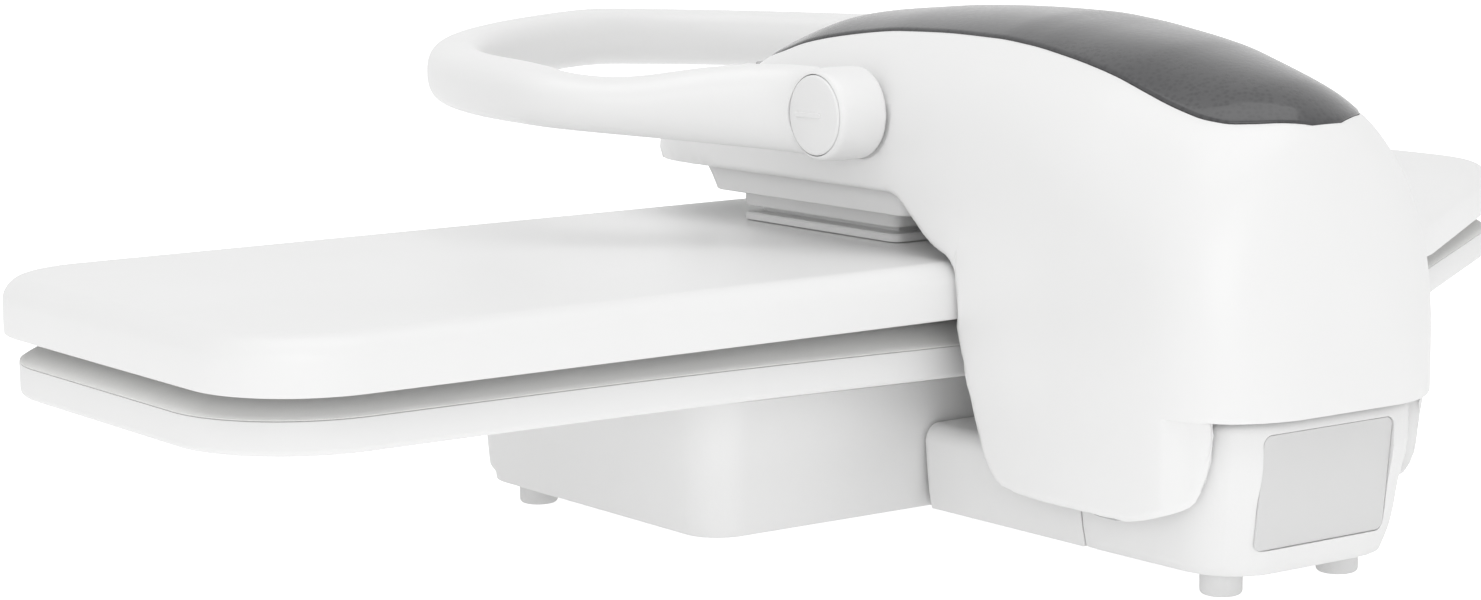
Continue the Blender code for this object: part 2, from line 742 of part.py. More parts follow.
gland_y = along(FRONT_HOUSING_REAR + GLAND_BEHIND_HOUSING)
gland_x = STEM_HALF - STEM_DRAFT * (1 - hull(GLAND_Z))
gland_hole = as_cutter(rod("gland_hole", white_plastic, (1, 0, 0),
                           (-gland_x - OVERRUN, gland_y, GLAND_Z),
                           GLAND_RADIUS + GAP, OVERRUN + HOUSING_WALL + OVERRUN, count=SMALL_ROUND))
boolean(middle, gland_hole)
gland_start = GLAND_INSIDE + HOUSING_WALL
turned("cord_gland", [
    (GLAND_BORE_RADIUS, -gland_start),
    (GLAND_RADIUS, -gland_start),
    (GLAND_RADIUS, GLAND_FLANGE_GAP),
    (GLAND_FLANGE_RADIUS, GLAND_FLANGE_GAP),
    (GLAND_FLANGE_RADIUS, GLAND_FLANGE_GAP + GLAND_FLANGE_THICKNESS),
    (GLAND_RADIUS, GLAND_FLANGE_GAP + GLAND_FLANGE_THICKNESS),
    (GLAND_BORE_RADIUS + GLAND_FLANGE_THICKNESS, GLAND_LENGTH),
    (GLAND_BORE_RADIUS, GLAND_LENGTH),
], material("gland_rubber", RUBBER, 0.7), (-1, 0, 0), (-gland_x, gland_y, GLAND_Z), SMALL_ROUND)

terminal_y = along(FRONT_HOUSING_REAR + TERMINAL_BEHIND_HOUSING)
terminal_z = TRAY_TOP_Z + GAP
stack("terminal_block", box_corners(-TERMINAL_LENGTH / 2, terminal_y - TERMINAL_DEPTH / 2,
                                    TERMINAL_LENGTH / 2, terminal_y + TERMINAL_DEPTH / 2, TERMINAL_CORNER),
      [(terminal_z, 0.0), (terminal_z + TERMINAL_HEIGHT, 0.0)], material("terminal_white", WHITE, 0.5), steps=2)

feet = (
    ("foot_front_left", -FRONT_FOOT_X, -FRONT_FOOT_REACH),
    ("foot_front_right", FRONT_FOOT_X, -FRONT_FOOT_REACH),
    ("foot_rear_left", -REAR_FOOT_X, REAR_HOUSING_REAR - REAR_FOOT_INSET),
    ("foot_rear_right", REAR_FOOT_X, REAR_HOUSING_REAR - REAR_FOOT_INSET),
)
foot_look = material("foot_rubber", RUBBER, 0.8)
for name, x, reach in feet:
    turned(name, [(0, 0), (FOOT_RADIUS - FOOT_EDGE, 0), (FOOT_RADIUS, FOOT_EDGE),
                  (FOOT_RADIUS, BASE_Z - GAP), (0, BASE_Z - GAP)],
           foot_look, (0, 0, 1), (x, along(reach), 0), SMALL_ROUND)

screw_x = tray_front_half - SCREW_INSET
screws = (
    ("base_screw_1", -screw_x, FRONT_HOUSING_REAR - tray_inset - SCREW_INSET),
    ("base_screw_2", screw_x, FRONT_HOUSING_REAR - tray_inset - SCREW_INSET),
    ("base_screw_3", -tray_stem_half + SCREW_INSET, REAR_HOUSING_FRONT + SCREW_INSET),
    ("base_screw_4", tray_stem_half - SCREW_INSET, REAR_HOUSING_FRONT + SCREW_INSET),
)
screw_look = material("screw_steel", STEEL, 0.35, 1.0)
for name, x, reach in screws:
    turned(name, [(0, -SCREW_HEAD_HEIGHT - GAP), (SCREW_HEAD_RADIUS, -SCREW_HEAD_HEIGHT - GAP),
                  (SCREW_HEAD_RADIUS, -GAP), (SCREW_RADIUS, -GAP), (SCREW_RADIUS, SCREW_LENGTH), (0, SCREW_LENGTH)],
           screw_look, (0, 0, 1), (x, along(reach), BASE_Z), 10)
    hole = as_cutter(rod(name + "_hole", white_plastic, (0, 0, 1), (x, along(reach), BASE_Z - OVERRUN),
                         SCREW_RADIUS + SCREW_CLEARANCE, TRAY_THICKNESS + 2 * OVERRUN, count=10))
    boolean(tray, hole)

# The rating plate lies in a shallow pocket in the rear wall, which leans out as it rises
label_low = LABEL_Z - LABEL_HEIGHT / 2
label_high = LABEL_Z + LABEL_HEIGHT / 2


def on_rear_wall(x, z, out):
    low_y, high_y = (along(REAR_HOUSING_REAR - REAR_HOUSING_DRAFT * (1 - hull(place)))
                     for place in (label_low, label_high))
    return (x, lerp(low_y, high_y, (z - label_low) / LABEL_HEIGHT) + out, z)


def label_slab(name, grow, low, high, look):
    outline = filleted(box_corners(LABEL_X - LABEL_WIDTH / 2 - grow, label_low - grow,
                                   LABEL_X + LABEL_WIDTH / 2 + grow, label_high + grow, LABEL_CORNER), steps=3)
    return loft(name, [[on_rear_wall(x, z, low) for x, z in outline], [on_rear_wall(x, z, high) for x, z in outline]],
                look)


boolean(rear, as_cutter(label_slab("rating_plate_pocket", GAP, -LABEL_DEPTH - LABEL_THICKNESS - GAP, OVERRUN,
                                   white_plastic)))
label_slab("rating_plate", 0.0, -LABEL_DEPTH - LABEL_THICKNESS, -LABEL_DEPTH,
           material("rating_plate_grey", LABEL, 0.5))

# Board: pan, plate, foam pad and fabric cover
PAN_FLOOR_Z = PAN_RIM_Z + PAN_WALL
stack("board_pan", BOARD_CORNERS, [
    (PAN_FLOOR_Z, PAN_WALL),
    (PAN_TOP_Z, PAN_WALL),
    (PAN_TOP_Z, 0.0),
    (PAN_RIM_Z + PAN_EDGE_RADIUS, 0.0),
    (PAN_RIM_Z, PAN_EDGE_RADIUS),
], material("pan_white", WHITE, 0.40), longest=BOARD_STEP, shift=sagged)

inside_pan = PAN_WALL + GAP
board_plate_z = PAN_FLOOR_Z + GAP
stack("board_plate", BOARD_CORNERS, [
    (board_plate_z, inside_pan),
    (board_plate_z + BOARD_PLATE_THICKNESS, inside_pan),
], material("board_plate_steel", STEEL, 0.4, 1.0), longest=BOARD_STEP, shift=sagged)


def crowned(point):
    # The padded top falls a little towards its long sides.
    x, y, z = sagged(point)
    across = (y - PLATE_Y) / PLATE_HALF
    return (x, y, z - CROWN_DROP * across * across * smooth(PAN_TOP_Z, BOARD_TOP_Z - COVER_THICKNESS, point[2]))


cover_z = board_plate_z + BOARD_PLATE_THICKNESS + GAP
pad_inset = inside_pan + COVER_THICKNESS + GAP
pad_top_z = BOARD_TOP_Z - COVER_THICKNESS - GAP
crown_insets = [PLATE_DEPTH * share for share in CROWN_INSET_SHARES]
pad_levels = [
    (cover_z, pad_inset),
    (PAN_TOP_Z - COVER_THICKNESS, pad_inset),
    (pad_top_z - CROWN_DROP, pad_inset + COVER_BEVEL),
    (pad_top_z, pad_inset + COVER_BEVEL + COVER_EDGE),
]
pad_levels += [(pad_top_z, pad_inset + COVER_BEVEL + extra) for extra in crown_insets]
stack("board_pad", BOARD_CORNERS, pad_levels, material("pad_foam", FOAM, 0.9), longest=BOARD_STEP, shift=crowned)
cover_inner = [(z + GAP if inset > pad_inset else z, inset - (GAP if inset == pad_inset else 0.0))
               for z, inset in pad_levels[1:]]
cover_levels = list(reversed(cover_inner)) + [
    (cover_z, pad_inset - GAP),
    (cover_z, inside_pan),
    (PAN_TOP_Z, inside_pan),
    (BOARD_TOP_Z - CROWN_DROP, inside_pan + COVER_BEVEL),
    (BOARD_TOP_Z, inside_pan + COVER_BEVEL + COVER_EDGE),
]
cover_levels += [(BOARD_TOP_Z, inside_pan + COVER_BEVEL + extra) for extra in crown_insets]
stack("board_cover", BOARD_CORNERS, cover_levels, material("cover_fabric", PAD_WHITE, 0.85),
      longest=BOARD_STEP, shift=crowned)

# Hinge: shaft, bushes and counterbalance springs
shaft_look = material("shaft_steel", STEEL, 0.3, 1.0)
hinge_place = (0, along(HINGE_REACH), HINGE_Z)
shaft_half = FRAME_HALF + BUSH_FLANGE
rod("hinge_shaft", shaft_look, (1, 0, 0), (-shaft_half, along(HINGE_REACH), HINGE_Z),
    SHAFT_RADIUS, 2 * shaft_half, edge=SHAFT_CHAMFER, origin=hinge_place)
bush_look = material("bush_brass", BRASS, 0.4, 1.0)
for side, name in ((1, "hinge_bush_right"), (-1, "hinge_bush_left")):
    turned(name, [
        (SHAFT_RADIUS + GAP, -FRAME_THICKNESS - BUSH_FLANGE / 2),
        (BUSH_RADIUS, -FRAME_THICKNESS - BUSH_FLANGE / 2),
        (BUSH_RADIUS, BUSH_FLANGE),
        (SHAFT_RADIUS + GAP, BUSH_FLANGE),
    ], bush_look, (side, 0, 0), (side * FRAME_HALF, along(HINGE_REACH), HINGE_Z), SMALL_ROUND, origin=hinge_place)

spring_look = material("spring_steel", STEEL, 0.3, 1.0)
coil_radius = SHAFT_RADIUS + GAP + SPRING_WIRE_RADIUS
for side, name in ((1, "counterbalance_spring_right"), (-1, "counterbalance_spring_left")):
    coil = []
    for k in range(SPRING_TURNS * 10 + 1):
        angle = 2 * math.pi * k / 10
        coil.append((side * (SPRING_INNER_START + SPRING_LENGTH * k / (SPRING_TURNS * 10)),
                     along(HINGE_REACH) + coil_radius * 1.06 * math.cos(angle),
                     HINGE_Z + coil_radius * 1.06 * math.sin(angle)))
    sweep(name, coil, round_section(SPRING_WIRE_RADIUS, 5), spring_look)

# Arm shell: crown, arch and sides at each place along the arm
ARM_LENGTH = NOSE_REACH + ARM_REACH
plate_edge = PLATE_HALF + LEG_CLEARANCE
above_plate_z = PLATE_TOP_Z + PLATE_FLOAT + GAP * 3
leg_curve_start = plate_edge - LEG_CURVE_LENGTH
leg_bottom_start = PLATE_HALF + LEG_BOTTOM_BEHIND_PLATE
leg_bottom_end = leg_bottom_start + LEG_BOTTOM_LENGTH
leg_rear = leg_bottom_end + LEG_HEEL_LENGTH
arch_change_end = ARM_REACH - ARCH_CHANGE_END
crown_line = [(ARM_LENGTH * share - NOSE_REACH, CROWN_Z * rise) for share, rise in CROWN_SHARES]
lower_line = [(-NOSE_REACH, SKIRT_Z), (leg_curve_start, SKIRT_Z)]
lower_line += [(lerp(leg_curve_start, plate_edge, s), lerp(above_plate_z, SKIRT_Z, r)) for s, r in SHOULDER_SHARES]
lower_line += [(plate_edge, above_plate_z), (plate_edge + GAP, PLATE_RIM_Z)]
lower_line += [(lerp(plate_edge, leg_bottom_start, s), lerp(LEG_BOTTOM_Z, PLATE_RIM_Z, r))
               for s, r in FOOT_CURVE_SHARES]
lower_line += [(leg_bottom_start, LEG_BOTTOM_Z), (leg_bottom_end, LEG_BOTTOM_Z)]
lower_line += [(lerp(leg_bottom_end, leg_rear, s), lerp(LEG_BOTTOM_Z, PANEL_Z, r)) for s, r in HEEL_SHARES]
lower_line += [(leg_rear, PANEL_Z), (ARM_REACH, PANEL_Z)]


def arm_half(reach):
    if reach < NOSE_CURVE - NOSE_REACH:
        share = (NOSE_CURVE - NOSE_REACH - reach) / (NOSE_CURVE + GAP)
        return ARM_HALF * (1 - share ** NOSE_POWER) ** (1 / NOSE_POWER)
    share = max(0.0, reach - (ARM_REACH - REAR_CURVE)) / (REAR_CURVE + GAP)
    return ARM_HALF * (1 - share ** REAR_POWER) ** (1 / REAR_POWER)


def leg_half(reach):
    ledge_start = leg_bottom_end + LEG_LEDGE_START
    return arm_half(reach) - LEG_LEDGE * smooth(ledge_start, ledge_start + LEG_LEDGE_LENGTH, reach)


def flare(reach, z):
    low, high = (leg_curve_start, plate_edge) if reach < plate_edge else (plate_edge + FLARE_LENGTH, plate_edge)
    up = smooth(FLARE_LOW_Z, FLARE_FULL_Z, z) * (1 - smooth(PLATE_TOP_Z, FLARE_TOP_Z, z))
    return LEG_FLARE * smooth(low, high, reach) * up


def section(reach, inset, arch_steps=6, side_steps=3):
    # Half a section of the arm, from the crown's middle down to the lower edge.
    crown = table_value(crown_line, reach) - inset
    low = table_value(lower_line, reach)
    half = arm_half(reach) - inset
    blend = smooth(arch_change_end - ARCH_CHANGE_LENGTH, arch_change_end, reach)
    power = lerp(ARCH_POWER, ARCH_POWER_REAR, blend)
    middle = max(low, PANEL_Z)
    height = min(lerp(ARCH_HEIGHT, ARCH_HEIGHT_REAR, blend), crown - middle)
    points = []
    for k in range(arch_steps + 1):
        angle = math.pi / 2 * k / arch_steps
        points.append((half * math.sin(angle) ** (2 / power), crown - height + height * math.cos(angle) ** (2 / power)))
    shoulder = crown - height
    points[-1] = (half, shoulder)
    for k in range(1, side_steps + 1):
        z = lerp(shoulder, middle, k / side_steps)
        points.append((half + flare(reach, z), z))
    leg = leg_half(reach) - inset
    legged = low < PANEL_Z - GAP
    for k in range(side_steps + 1):
        if legged:
            z = lerp(PANEL_Z - GAP, low, k / side_steps)
            points.append((leg + flare(reach, z), z))
        else:
            points.append(points[-1])
    return points


edge_places = [s for s, z in lower_line]
stations = []
for reach in sorted(edge_places + [s for s, z in crown_line]):
    crowded = stations and reach - stations[-1] < NOSE_REACH / 50
    if crowded and reach in edge_places:
        if stations[-1] in edge_places:
            crowded = reach - stations[-1] < GAP / 2
        else:
            stations.pop()
            crowded = False
    if not crowded or reach > leg_rear:
        stations.append(reach)


def hood(name, look, outer, wall, **options):
    # A shell with the arm's outer shape, moved in by outer, and a wall behind it.
    bm = bmesh.new()
    surfaces = []
    for inset in (outer, outer + wall):
        rows = []
        squeeze = (ARM_LENGTH - 2 * inset) / ARM_LENGTH
        for reach in stations:
            place = along((reach + NOSE_REACH) * squeeze - NOSE_REACH + inset)
            half = section(reach, inset)
            points = [(-x, place, z) for x, z in reversed(half)] + [(x, place, z) for x, z in half[1:]]
            rows.append([bm.verts.new(point) for point in points])
        surfaces.append(rows)
        skin(bm, rows, closed=False)
    over, under = surfaces
    for a, b in zip(range(len(stations) - 1), range(1, len(stations))):
        for edge in (0, -1):
            bm.faces.new((over[a][edge], over[b][edge], under[b][edge], under[a][edge]))
    for row, low in ((over[0], under[0]), (over[-1], under[-1])):
        bm.faces.new((row[0], row[-1], low[-1], low[0]))
    for rows in surfaces:
        bm.faces.new(rows[0])
        bm.faces.new(rows[-1])
    bmesh.ops.remove_doubles(bm, verts=bm.verts, dist=GAP / 10)
    bmesh.ops.dissolve_degenerate(bm, edges=bm.edges, dist=GAP / 10)
    return finish(name, bm, look, **options)


shell = hood("arm_shell", material("shell_white", WHITE, 0.35), 0.0, ARM_WALL, origin=hinge_place, sharp=50)


def teardrop(inset):
    length = TEAR_REAR + TEAR_FRONT
    side = [(TEAR_HALF * wide - inset, lerp(-TEAR_FRONT + inset, TEAR_REAR - inset, share))
            for share, wide in TEAR_SHARES]
    side = [(max(x, length * 0.004), y) for x, y in side]
    return ([(0, along(-TEAR_FRONT + inset))] + [(x, along(y)) for x, y in side]
            + [(0, along(TEAR_REAR - inset))] + [(-x, along(y)) for x, y in reversed(side)])


def upright(name, outline, z0, z1, look):
    return loft(name, [[(x, y, z0) for x, y in outline], [(x, y, z1) for x, y in outline]], look)


tear_low = TANK_TOP_Z - ARCH_HEIGHT
boolean(shell, as_cutter(upright("tank_opening", teardrop(0.0), tear_low, CROWN_Z + OVERRUN, white_plastic)))
smoked = hood("tank_cover", material("smoked_cover", SMOKED, 0.15, 0.0, 0.9), 0.0, SMOKED_THICKNESS, sharp=50)
boolean(smoked, as_cutter(upright("tank_cover_outline", teardrop(TEAR_GAP), tear_low, CROWN_Z + OVERRUN,
                                  white_plastic)), "INTERSECT")

# Frame inside the arm
WEB_Z = UNDER_TOP_Z + WEB_TOP_GAP
frame_side = [
    (-FRAME_NOSE_REACH, WEB_Z, FRAME_EDGE_RADIUS),
    (UNDER_REAR, WEB_Z, FRAME_EDGE_RADIUS),
    (plate_edge + GAP, above_plate_z + FRAME_EDGE_RADIUS, FRAME_EDGE_RADIUS),
    (plate_edge + FRAME_EDGE_RADIUS, PLATE_RIM_Z, FRAME_EDGE_RADIUS),
    (HINGE_REACH - FRAME_HINGE_RADIUS, HINGE_Z - FRAME_HINGE_RADIUS, FRAME_HINGE_RADIUS),
    (HINGE_REACH + FRAME_HINGE_RADIUS, HINGE_Z - FRAME_HINGE_RADIUS, FRAME_HINGE_RADIUS),
    (HINGE_REACH + FRAME_HINGE_RADIUS, PLATE_RIM_Z, FRAME_HINGE_RADIUS),
    (TANK_REAR, FRAME_TOP_Z, FRAME_HINGE_RADIUS),
    (HUB_REACH + FRAME_LUG_RADIUS, FRAME_TOP_Z, GAP),
    (HUB_REACH + FRAME_LUG_RADIUS, HUB_Z + FRAME_LUG_RADIUS, FRAME_LUG_CORNER),
    (HUB_REACH - FRAME_LUG_RADIUS, HUB_Z + FRAME_LUG_RADIUS, FRAME_LUG_CORNER),
    (HUB_REACH - FRAME_LUG_RADIUS, FRAME_TOP_Z, GAP),
    (-FRAME_NOSE_REACH, FRAME_TOP_Z, FRAME_EDGE_RADIUS),
]
frame_look = material("frame_steel", STEEL, 0.4, 1.0)


def side_plate(name, inner_x, outer_x):
    outline = filleted(frame_side, steps=4)
    return loft(name, [[(inner_x, along(s), z) for s, z in outline], [(outer_x, along(s), z) for s, z in outline]],
                frame_look, origin=hinge_place)


frame = side_plate("arm_frame", FRAME_HALF - FRAME_THICKNESS, FRAME_HALF)
frame_other = as_cutter(side_plate("arm_frame_other_side", -FRAME_HALF, FRAME_THICKNESS - FRAME_HALF))
web = as_cutter(stack("arm_frame_web", box_corners(-FRAME_HALF + FRAME_THICKNESS / 2, along(-FRAME_NOSE_REACH + GAP),
                                                   FRAME_HALF - FRAME_THICKNESS / 2, along(UNDER_REAR - GAP),
                                                   GAP), [(WEB_Z, 0.0), (WEB_Z + FRAME_THICKNESS, 0.0)],
                      frame_look, steps=1))
boolean(frame, web, "UNION")
boolean(frame, frame_other, "UNION")
frame_bores = as_cutter(rod("frame_bores", frame_look, (1, 0, 0),
                            (-FRAME_HALF - OVERRUN, along(HINGE_REACH), HINGE_Z),
                            BUSH_RADIUS + GAP, 2 * (FRAME_HALF + OVERRUN), count=SMALL_ROUND))
boolean(frame, frame_bores)

# Underside of the arm
flange_corners = box_corners(-FLANGE_HALF, along(-FLANGE_FRONT), FLANGE_HALF, along(FLANGE_REAR), FLANGE_CORNER)
under_low = box_corners(-UNDER_HALF, along(-UNDER_FRONT + UNDER_SLANT), UNDER_HALF, along(UNDER_REAR), UNDER_CORNER)
under_high = box_corners(-UNDER_HALF, along(-UNDER_FRONT), UNDER_HALF, along(UNDER_REAR), UNDER_CORNER)


loft("lower_cover", [
    level(flange_corners, FLANGE_Z),
    level(flange_corners, UNDER_Z),
    level(under_low, UNDER_Z),
    level(under_high, UNDER_TOP_Z),
    level(flange_corners, UNDER_TOP_Z, FLANGE_WALL),
    level(flange_corners, FLANGE_Z, FLANGE_WALL),
], material("lower_cover_white", WHITE, 0.4), cyclic=True, origin=hinge_place)

inner_line = [
    (UNDER_REAR + RUNNING_GAP, UNDER_TOP_Z),
    (plate_edge + INNER_COVER_THICKNESS, above_plate_z + INNER_COVER_THICKNESS * 2),
    (plate_edge + INNER_COVER_THICKNESS * 2, PLATE_RIM_Z),
    (plate_edge + INNER_COVER_THICKNESS * 3, INNER_COVER_END_Z),
]
inner_half = FRAME_HALF - FRAME_THICKNESS - GAP
inner_under = [(s - INNER_COVER_THICKNESS * 0.7, z - INNER_COVER_THICKNESS * 0.7) for s, z in inner_line]
inner_under[0] = (inner_line[0][0], inner_line[0][1] - INNER_COVER_THICKNESS)
inner_outline = inner_line + list(reversed(inner_under))
loft("arm_inner_cover", [[(-inner_half, along(s), z) for s, z in inner_outline],
                         [(inner_half, along(s), z) for s, z in inner_outline]],
     material("inner_cover_white", WHITE, 0.45), origin=hinge_place)

# Plate: sole, housing, heating parts and neck
SOLE_Z = BOARD_TOP_Z + GAP
sole_inset = PLATE_WALL + GAP
sole_top = SOLE_Z + SOLE_THICKNESS
stack("sole_plate", PLATE_CORNERS, [
    (SOLE_Z, sole_inset + SOLE_EDGE),
    (SOLE_Z + SOLE_EDGE, sole_inset),
    (sole_top, sole_inset),
], material("sole_aluminium", ALUMINIUM, 0.3, 1.0))
housing_levels = [
    (PLATE_TOP_Z - PLATE_WALL, PLATE_EDGE_RADIUS),
    (PLATE_TOP_Z - PLATE_EDGE_RADIUS, PLATE_WALL),
    (PLATE_RIM_Z, PLATE_WALL),
    (PLATE_RIM_Z, 0.0),
    (PLATE_TOP_Z - PLATE_EDGE_RADIUS, 0.0),
]
housing_levels += [(PLATE_TOP_Z - PLATE_EDGE_RADIUS + rise, inset) for rise, inset in quarter(PLATE_EDGE_RADIUS)]
stack("plate_housing", PLATE_CORNERS, housing_levels, material("plate_white", WHITE, 0.35))

element_z = sole_top + GAP + ELEMENT_RADIUS
element_half = PLATE_LENGTH * ELEMENT_LENGTH_SHARE / 2
element_bend = PLATE_DEPTH * ELEMENT_DEPTH_SHARE / 2
element_shift = PLATE_LENGTH * ELEMENT_SHIFT_SHARE
element_path = [(ELEMENT_OPENING / 2, along(element_bend), element_z)]
for side in (1, -1):
    for k in range(9):
        angle = math.pi / 2 - math.pi * k / 8 if side > 0 else -math.pi / 2 - math.pi * k / 8
        element_path.append((element_shift + side * (element_half - element_bend) + element_bend * math.cos(angle),
                             along(element_bend * math.sin(angle)), element_z))
element_path.append((-ELEMENT_OPENING / 2, along(element_bend), element_z))
sweep("heating_element", element_path, round_section(ELEMENT_RADIUS), material("element_steel", STEEL, 0.5, 1.0))
inside_look = material("thermostat_ceramic", PAD_WHITE, 0.5)
rod("thermostat", inside_look, (0, 0, 1), (-THERMOSTAT_X, along(0), sole_top + GAP),
    THERMOSTAT_RADIUS, THERMOSTAT_HEIGHT, count=SMALL_ROUND)
rod("thermal_fuse", material("fuse_steel", STEEL, 0.4, 1.0), (1, 0, 0),
    (THERMOSTAT_X - FUSE_LENGTH / 2, along(0), sole_top + GAP + FUSE_RADIUS), FUSE_RADIUS, FUSE_LENGTH, count=10)
inlet_top = PLATE_TOP_Z - PLATE_WALL - GAP
turned("steam_inlet", [(INLET_BORE, 0), (INLET_RADIUS, 0), (INLET_RADIUS, inlet_top - sole_top - GAP),
                       (INLET_BORE, inlet_top - sole_top - GAP)],
       material("inlet_brass", BRASS, 0.4, 1.0), (0, 0, 1), (0, along(0), sole_top + GAP), SMALL_ROUND)

neck_z = PLATE_TOP_Z + GAP
neck_inset = FLANGE_WALL + NECK_CLEARANCE
flange_middle = along((FLANGE_REAR - FLANGE_FRONT) / 2)


def boss(z):
    ring = []
    for x, y, _ in level(flange_corners, z):
        away = Vector((x, y - flange_middle)).normalized() * NECK_BOSS_RADIUS
        ring.append((away.x, flange_middle + away.y, z))
    return ring


neck = loft("plate_neck", [
    level(flange_corners, neck_z),
    level(flange_corners, neck_z + NECK_FLANGE_HEIGHT),
    level(flange_corners, neck_z + NECK_FLANGE_HEIGHT, neck_inset),
    level(flange_corners, NECK_TOP_Z, neck_inset),
    boss(NECK_TOP_Z),
    boss(NECK_BOSS_Z),
], material("neck_white", WHITE, 0.4))
pressure_radius = NECK_BOSS_RADIUS + RUNNING_GAP + PRESSURE_WIRE_RADIUS
pressure_low = NECK_TOP_Z + GAP + PRESSURE_WIRE_RADIUS
pressure_high = WEB_Z - GAP - PRESSURE_WIRE_RADIUS
pressure_coil = []
for k in range(PRESSURE_TURNS * 12 + 1):
    angle = 2 * math.pi * k / 12
    pressure_coil.append((pressure_radius * math.cos(angle), flange_middle + pressure_radius * math.sin(angle),
                          lerp(pressure_low, pressure_high, k / (PRESSURE_TURNS * 12))))
sweep("pressure_spring", pressure_coil, round_section(PRESSURE_WIRE_RADIUS, 5), spring_look)

# Water tank, valve, pump and pipe
TANK_Z = WEB_Z + FRAME_THICKNESS + GAP
tank_corners = box_corners(-TANK_HALF, along(-TANK_FRONT), TANK_HALF, along(TANK_REAR), TANK_CORNER)
stack("water_tank", tank_corners, [
    (TANK_Z + TANK_WALL, TANK_WALL),
    (TANK_TOP_Z, TANK_WALL),
    (TANK_TOP_Z, 0.0),
    (TANK_Z, 0.0),
], material("tank_clear", CLEAR, 0.1, 0.0, 0.5), steps=4)
valve_z = TANK_Z - GAP - VALVE_HEIGHT
rod("tank_valve", material("valve_white", WHITE, 0.5), (0, 0, 1), (0, along(VALVE_REACH), valve_z),
    VALVE_RADIUS, VALVE_HEIGHT, count=SMALL_ROUND)
pump_z = valve_z - GAP - PUMP_HEIGHT
pump_corners = box_corners(-PUMP_HALF, along(VALVE_REACH - PUMP_DEPTH / 2),
                           PUMP_HALF, along(VALVE_REACH + PUMP_DEPTH / 2), PUMP_CORNER)
stack("pump", pump_corners, [(pump_z, 0.0), (pump_z + PUMP_HEIGHT, 0.0)], material("pump_dark", DARK, 0.5), steps=3)
stack("pump_bracket", box_corners(-inner_half, along(VALVE_REACH - PUMP_DEPTH / 2),
                                  inner_half, along(VALVE_REACH + PUMP_DEPTH / 2), GAP * 4),
      [(pump_z - GAP - PUMP_BRACKET_THICKNESS, 0.0), (pump_z - GAP, 0.0)],
      material("bracket_steel", STEEL, 0.4, 1.0), steps=1)
pipe_z = pump_z + PUMP_HEIGHT / 2
pipe_top = TANK_Z + PIPE_RADIUS
pipe_turn = 4 * PIPE_RADIUS
pipe_points = [
    (PUMP_HALF + GAP, VALVE_REACH, pipe_z),
    (PUMP_HALF + pipe_turn / 2, VALVE_REACH, pipe_z),
    (PIPE_X - PIPE_RADIUS, VALVE_REACH, pipe_z + PIPE_RADIUS),
    (PIPE_X, VALVE_REACH - PIPE_RADIUS, pipe_z + pipe_turn),
    (PIPE_X, VALVE_REACH - pipe_turn, pipe_top),
    (PIPE_X, UNDER_REAR, pipe_top),
    (PIPE_X, PIPE_END_REACH, pipe_top),
]
pipe_route = curve_through([(x, along(s), z) for x, s, z in pipe_points], 3)
sweep("steam_pipe", pipe_route, round_section(PIPE_RADIUS, 7), material("pipe_silicone", PAD_WHITE, 0.6))

# Control panel on the nose
nose_line = [(z, s) for s, z in crown_line if s < 0]
panel_middle = Vector((0, along(table_value(nose_line, PANEL_MIDDLE_Z) + PANEL_SINK), PANEL_MIDDLE_Z))
panel_out = Vector((0, -math.sin(PANEL_TILT), math.cos(PANEL_TILT)))
panel_up = Vector((0, math.cos(PANEL_TILT), math.sin(PANEL_TILT)))
panel_side = Vector((1, 0, 0))


def on_panel(across, up, out):
    return panel_middle + panel_side * across + panel_up * up + panel_out * out


def panel_slab(name, width, height, corner, low, high, look, up=0.0, **options):
    outline = filleted(box_corners(-width / 2, up - height / 2, width / 2, up + height / 2, corner), steps=3)
    return loft(name, [[on_panel(a, b, low) for a, b in outline], [on_panel(a, b, high) for a, b in outline]],
                look, **options)


boolean(shell, as_cutter(panel_slab("panel_pocket", PANEL_WIDTH + 2 * GAP, PANEL_HEIGHT + 2 * GAP,
                                    PANEL_CORNER + GAP, -OVERRUN, OVERRUN, white_plastic)))
panel = panel_slab("control_panel", PANEL_WIDTH, PANEL_HEIGHT, PANEL_CORNER, -PANEL_THICKNESS, 0.0,
                   material("panel_dark", DARK, 0.3))
boolean(panel, as_cutter(panel_slab("window_pocket", WINDOW_WIDTH + 2 * GAP, WINDOW_HEIGHT + 2 * GAP,
                                    WINDOW_CORNER, -WINDOW_THICKNESS - GAP, OVERRUN, white_plastic, up=WINDOW_UP)))
panel_slab("display_window", WINDOW_WIDTH, WINDOW_HEIGHT, WINDOW_CORNER, -WINDOW_THICKNESS, 0.0,
           material("window_smoked", SMOKED, 0.05, 0.0, 0.6), up=WINDOW_UP)
card_high = -PANEL_THICKNESS - BOARD_CARD_GAP
button_look = material("button_white", WHITE, 0.4)
for name, place in (("button_power", -1.5), ("button_steam", -0.5), ("button_heat_down", 0.5), ("button_heat_up", 1.5)):
    across = place * BUTTON_PITCH
    foot = on_panel(across, -BUTTON_DOWN, BUTTON_PROUD - BUTTON_LENGTH)
    rod(name, button_look, panel_out, foot, BUTTON_RADIUS, BUTTON_LENGTH, edge=BUTTON_EDGE, count=12,
        origin=on_panel(across, -BUTTON_DOWN, 0.0))
    hole = as_cutter(rod(name + "_hole", white_plastic, panel_out,
                         on_panel(across, -BUTTON_DOWN, -OVERRUN), BUTTON_RADIUS + GAP, 2 * OVERRUN, count=12))
    boolean(panel, hole)
card_post = SCREW_RADIUS
card = panel_slab("control_board", PANEL_WIDTH - 2 * PANEL_CORNER, PANEL_HEIGHT - PANEL_CORNER, GAP * 4,
                  card_high - BOARD_CARD_THICKNESS, card_high, material("card_green", GREEN, 0.5))
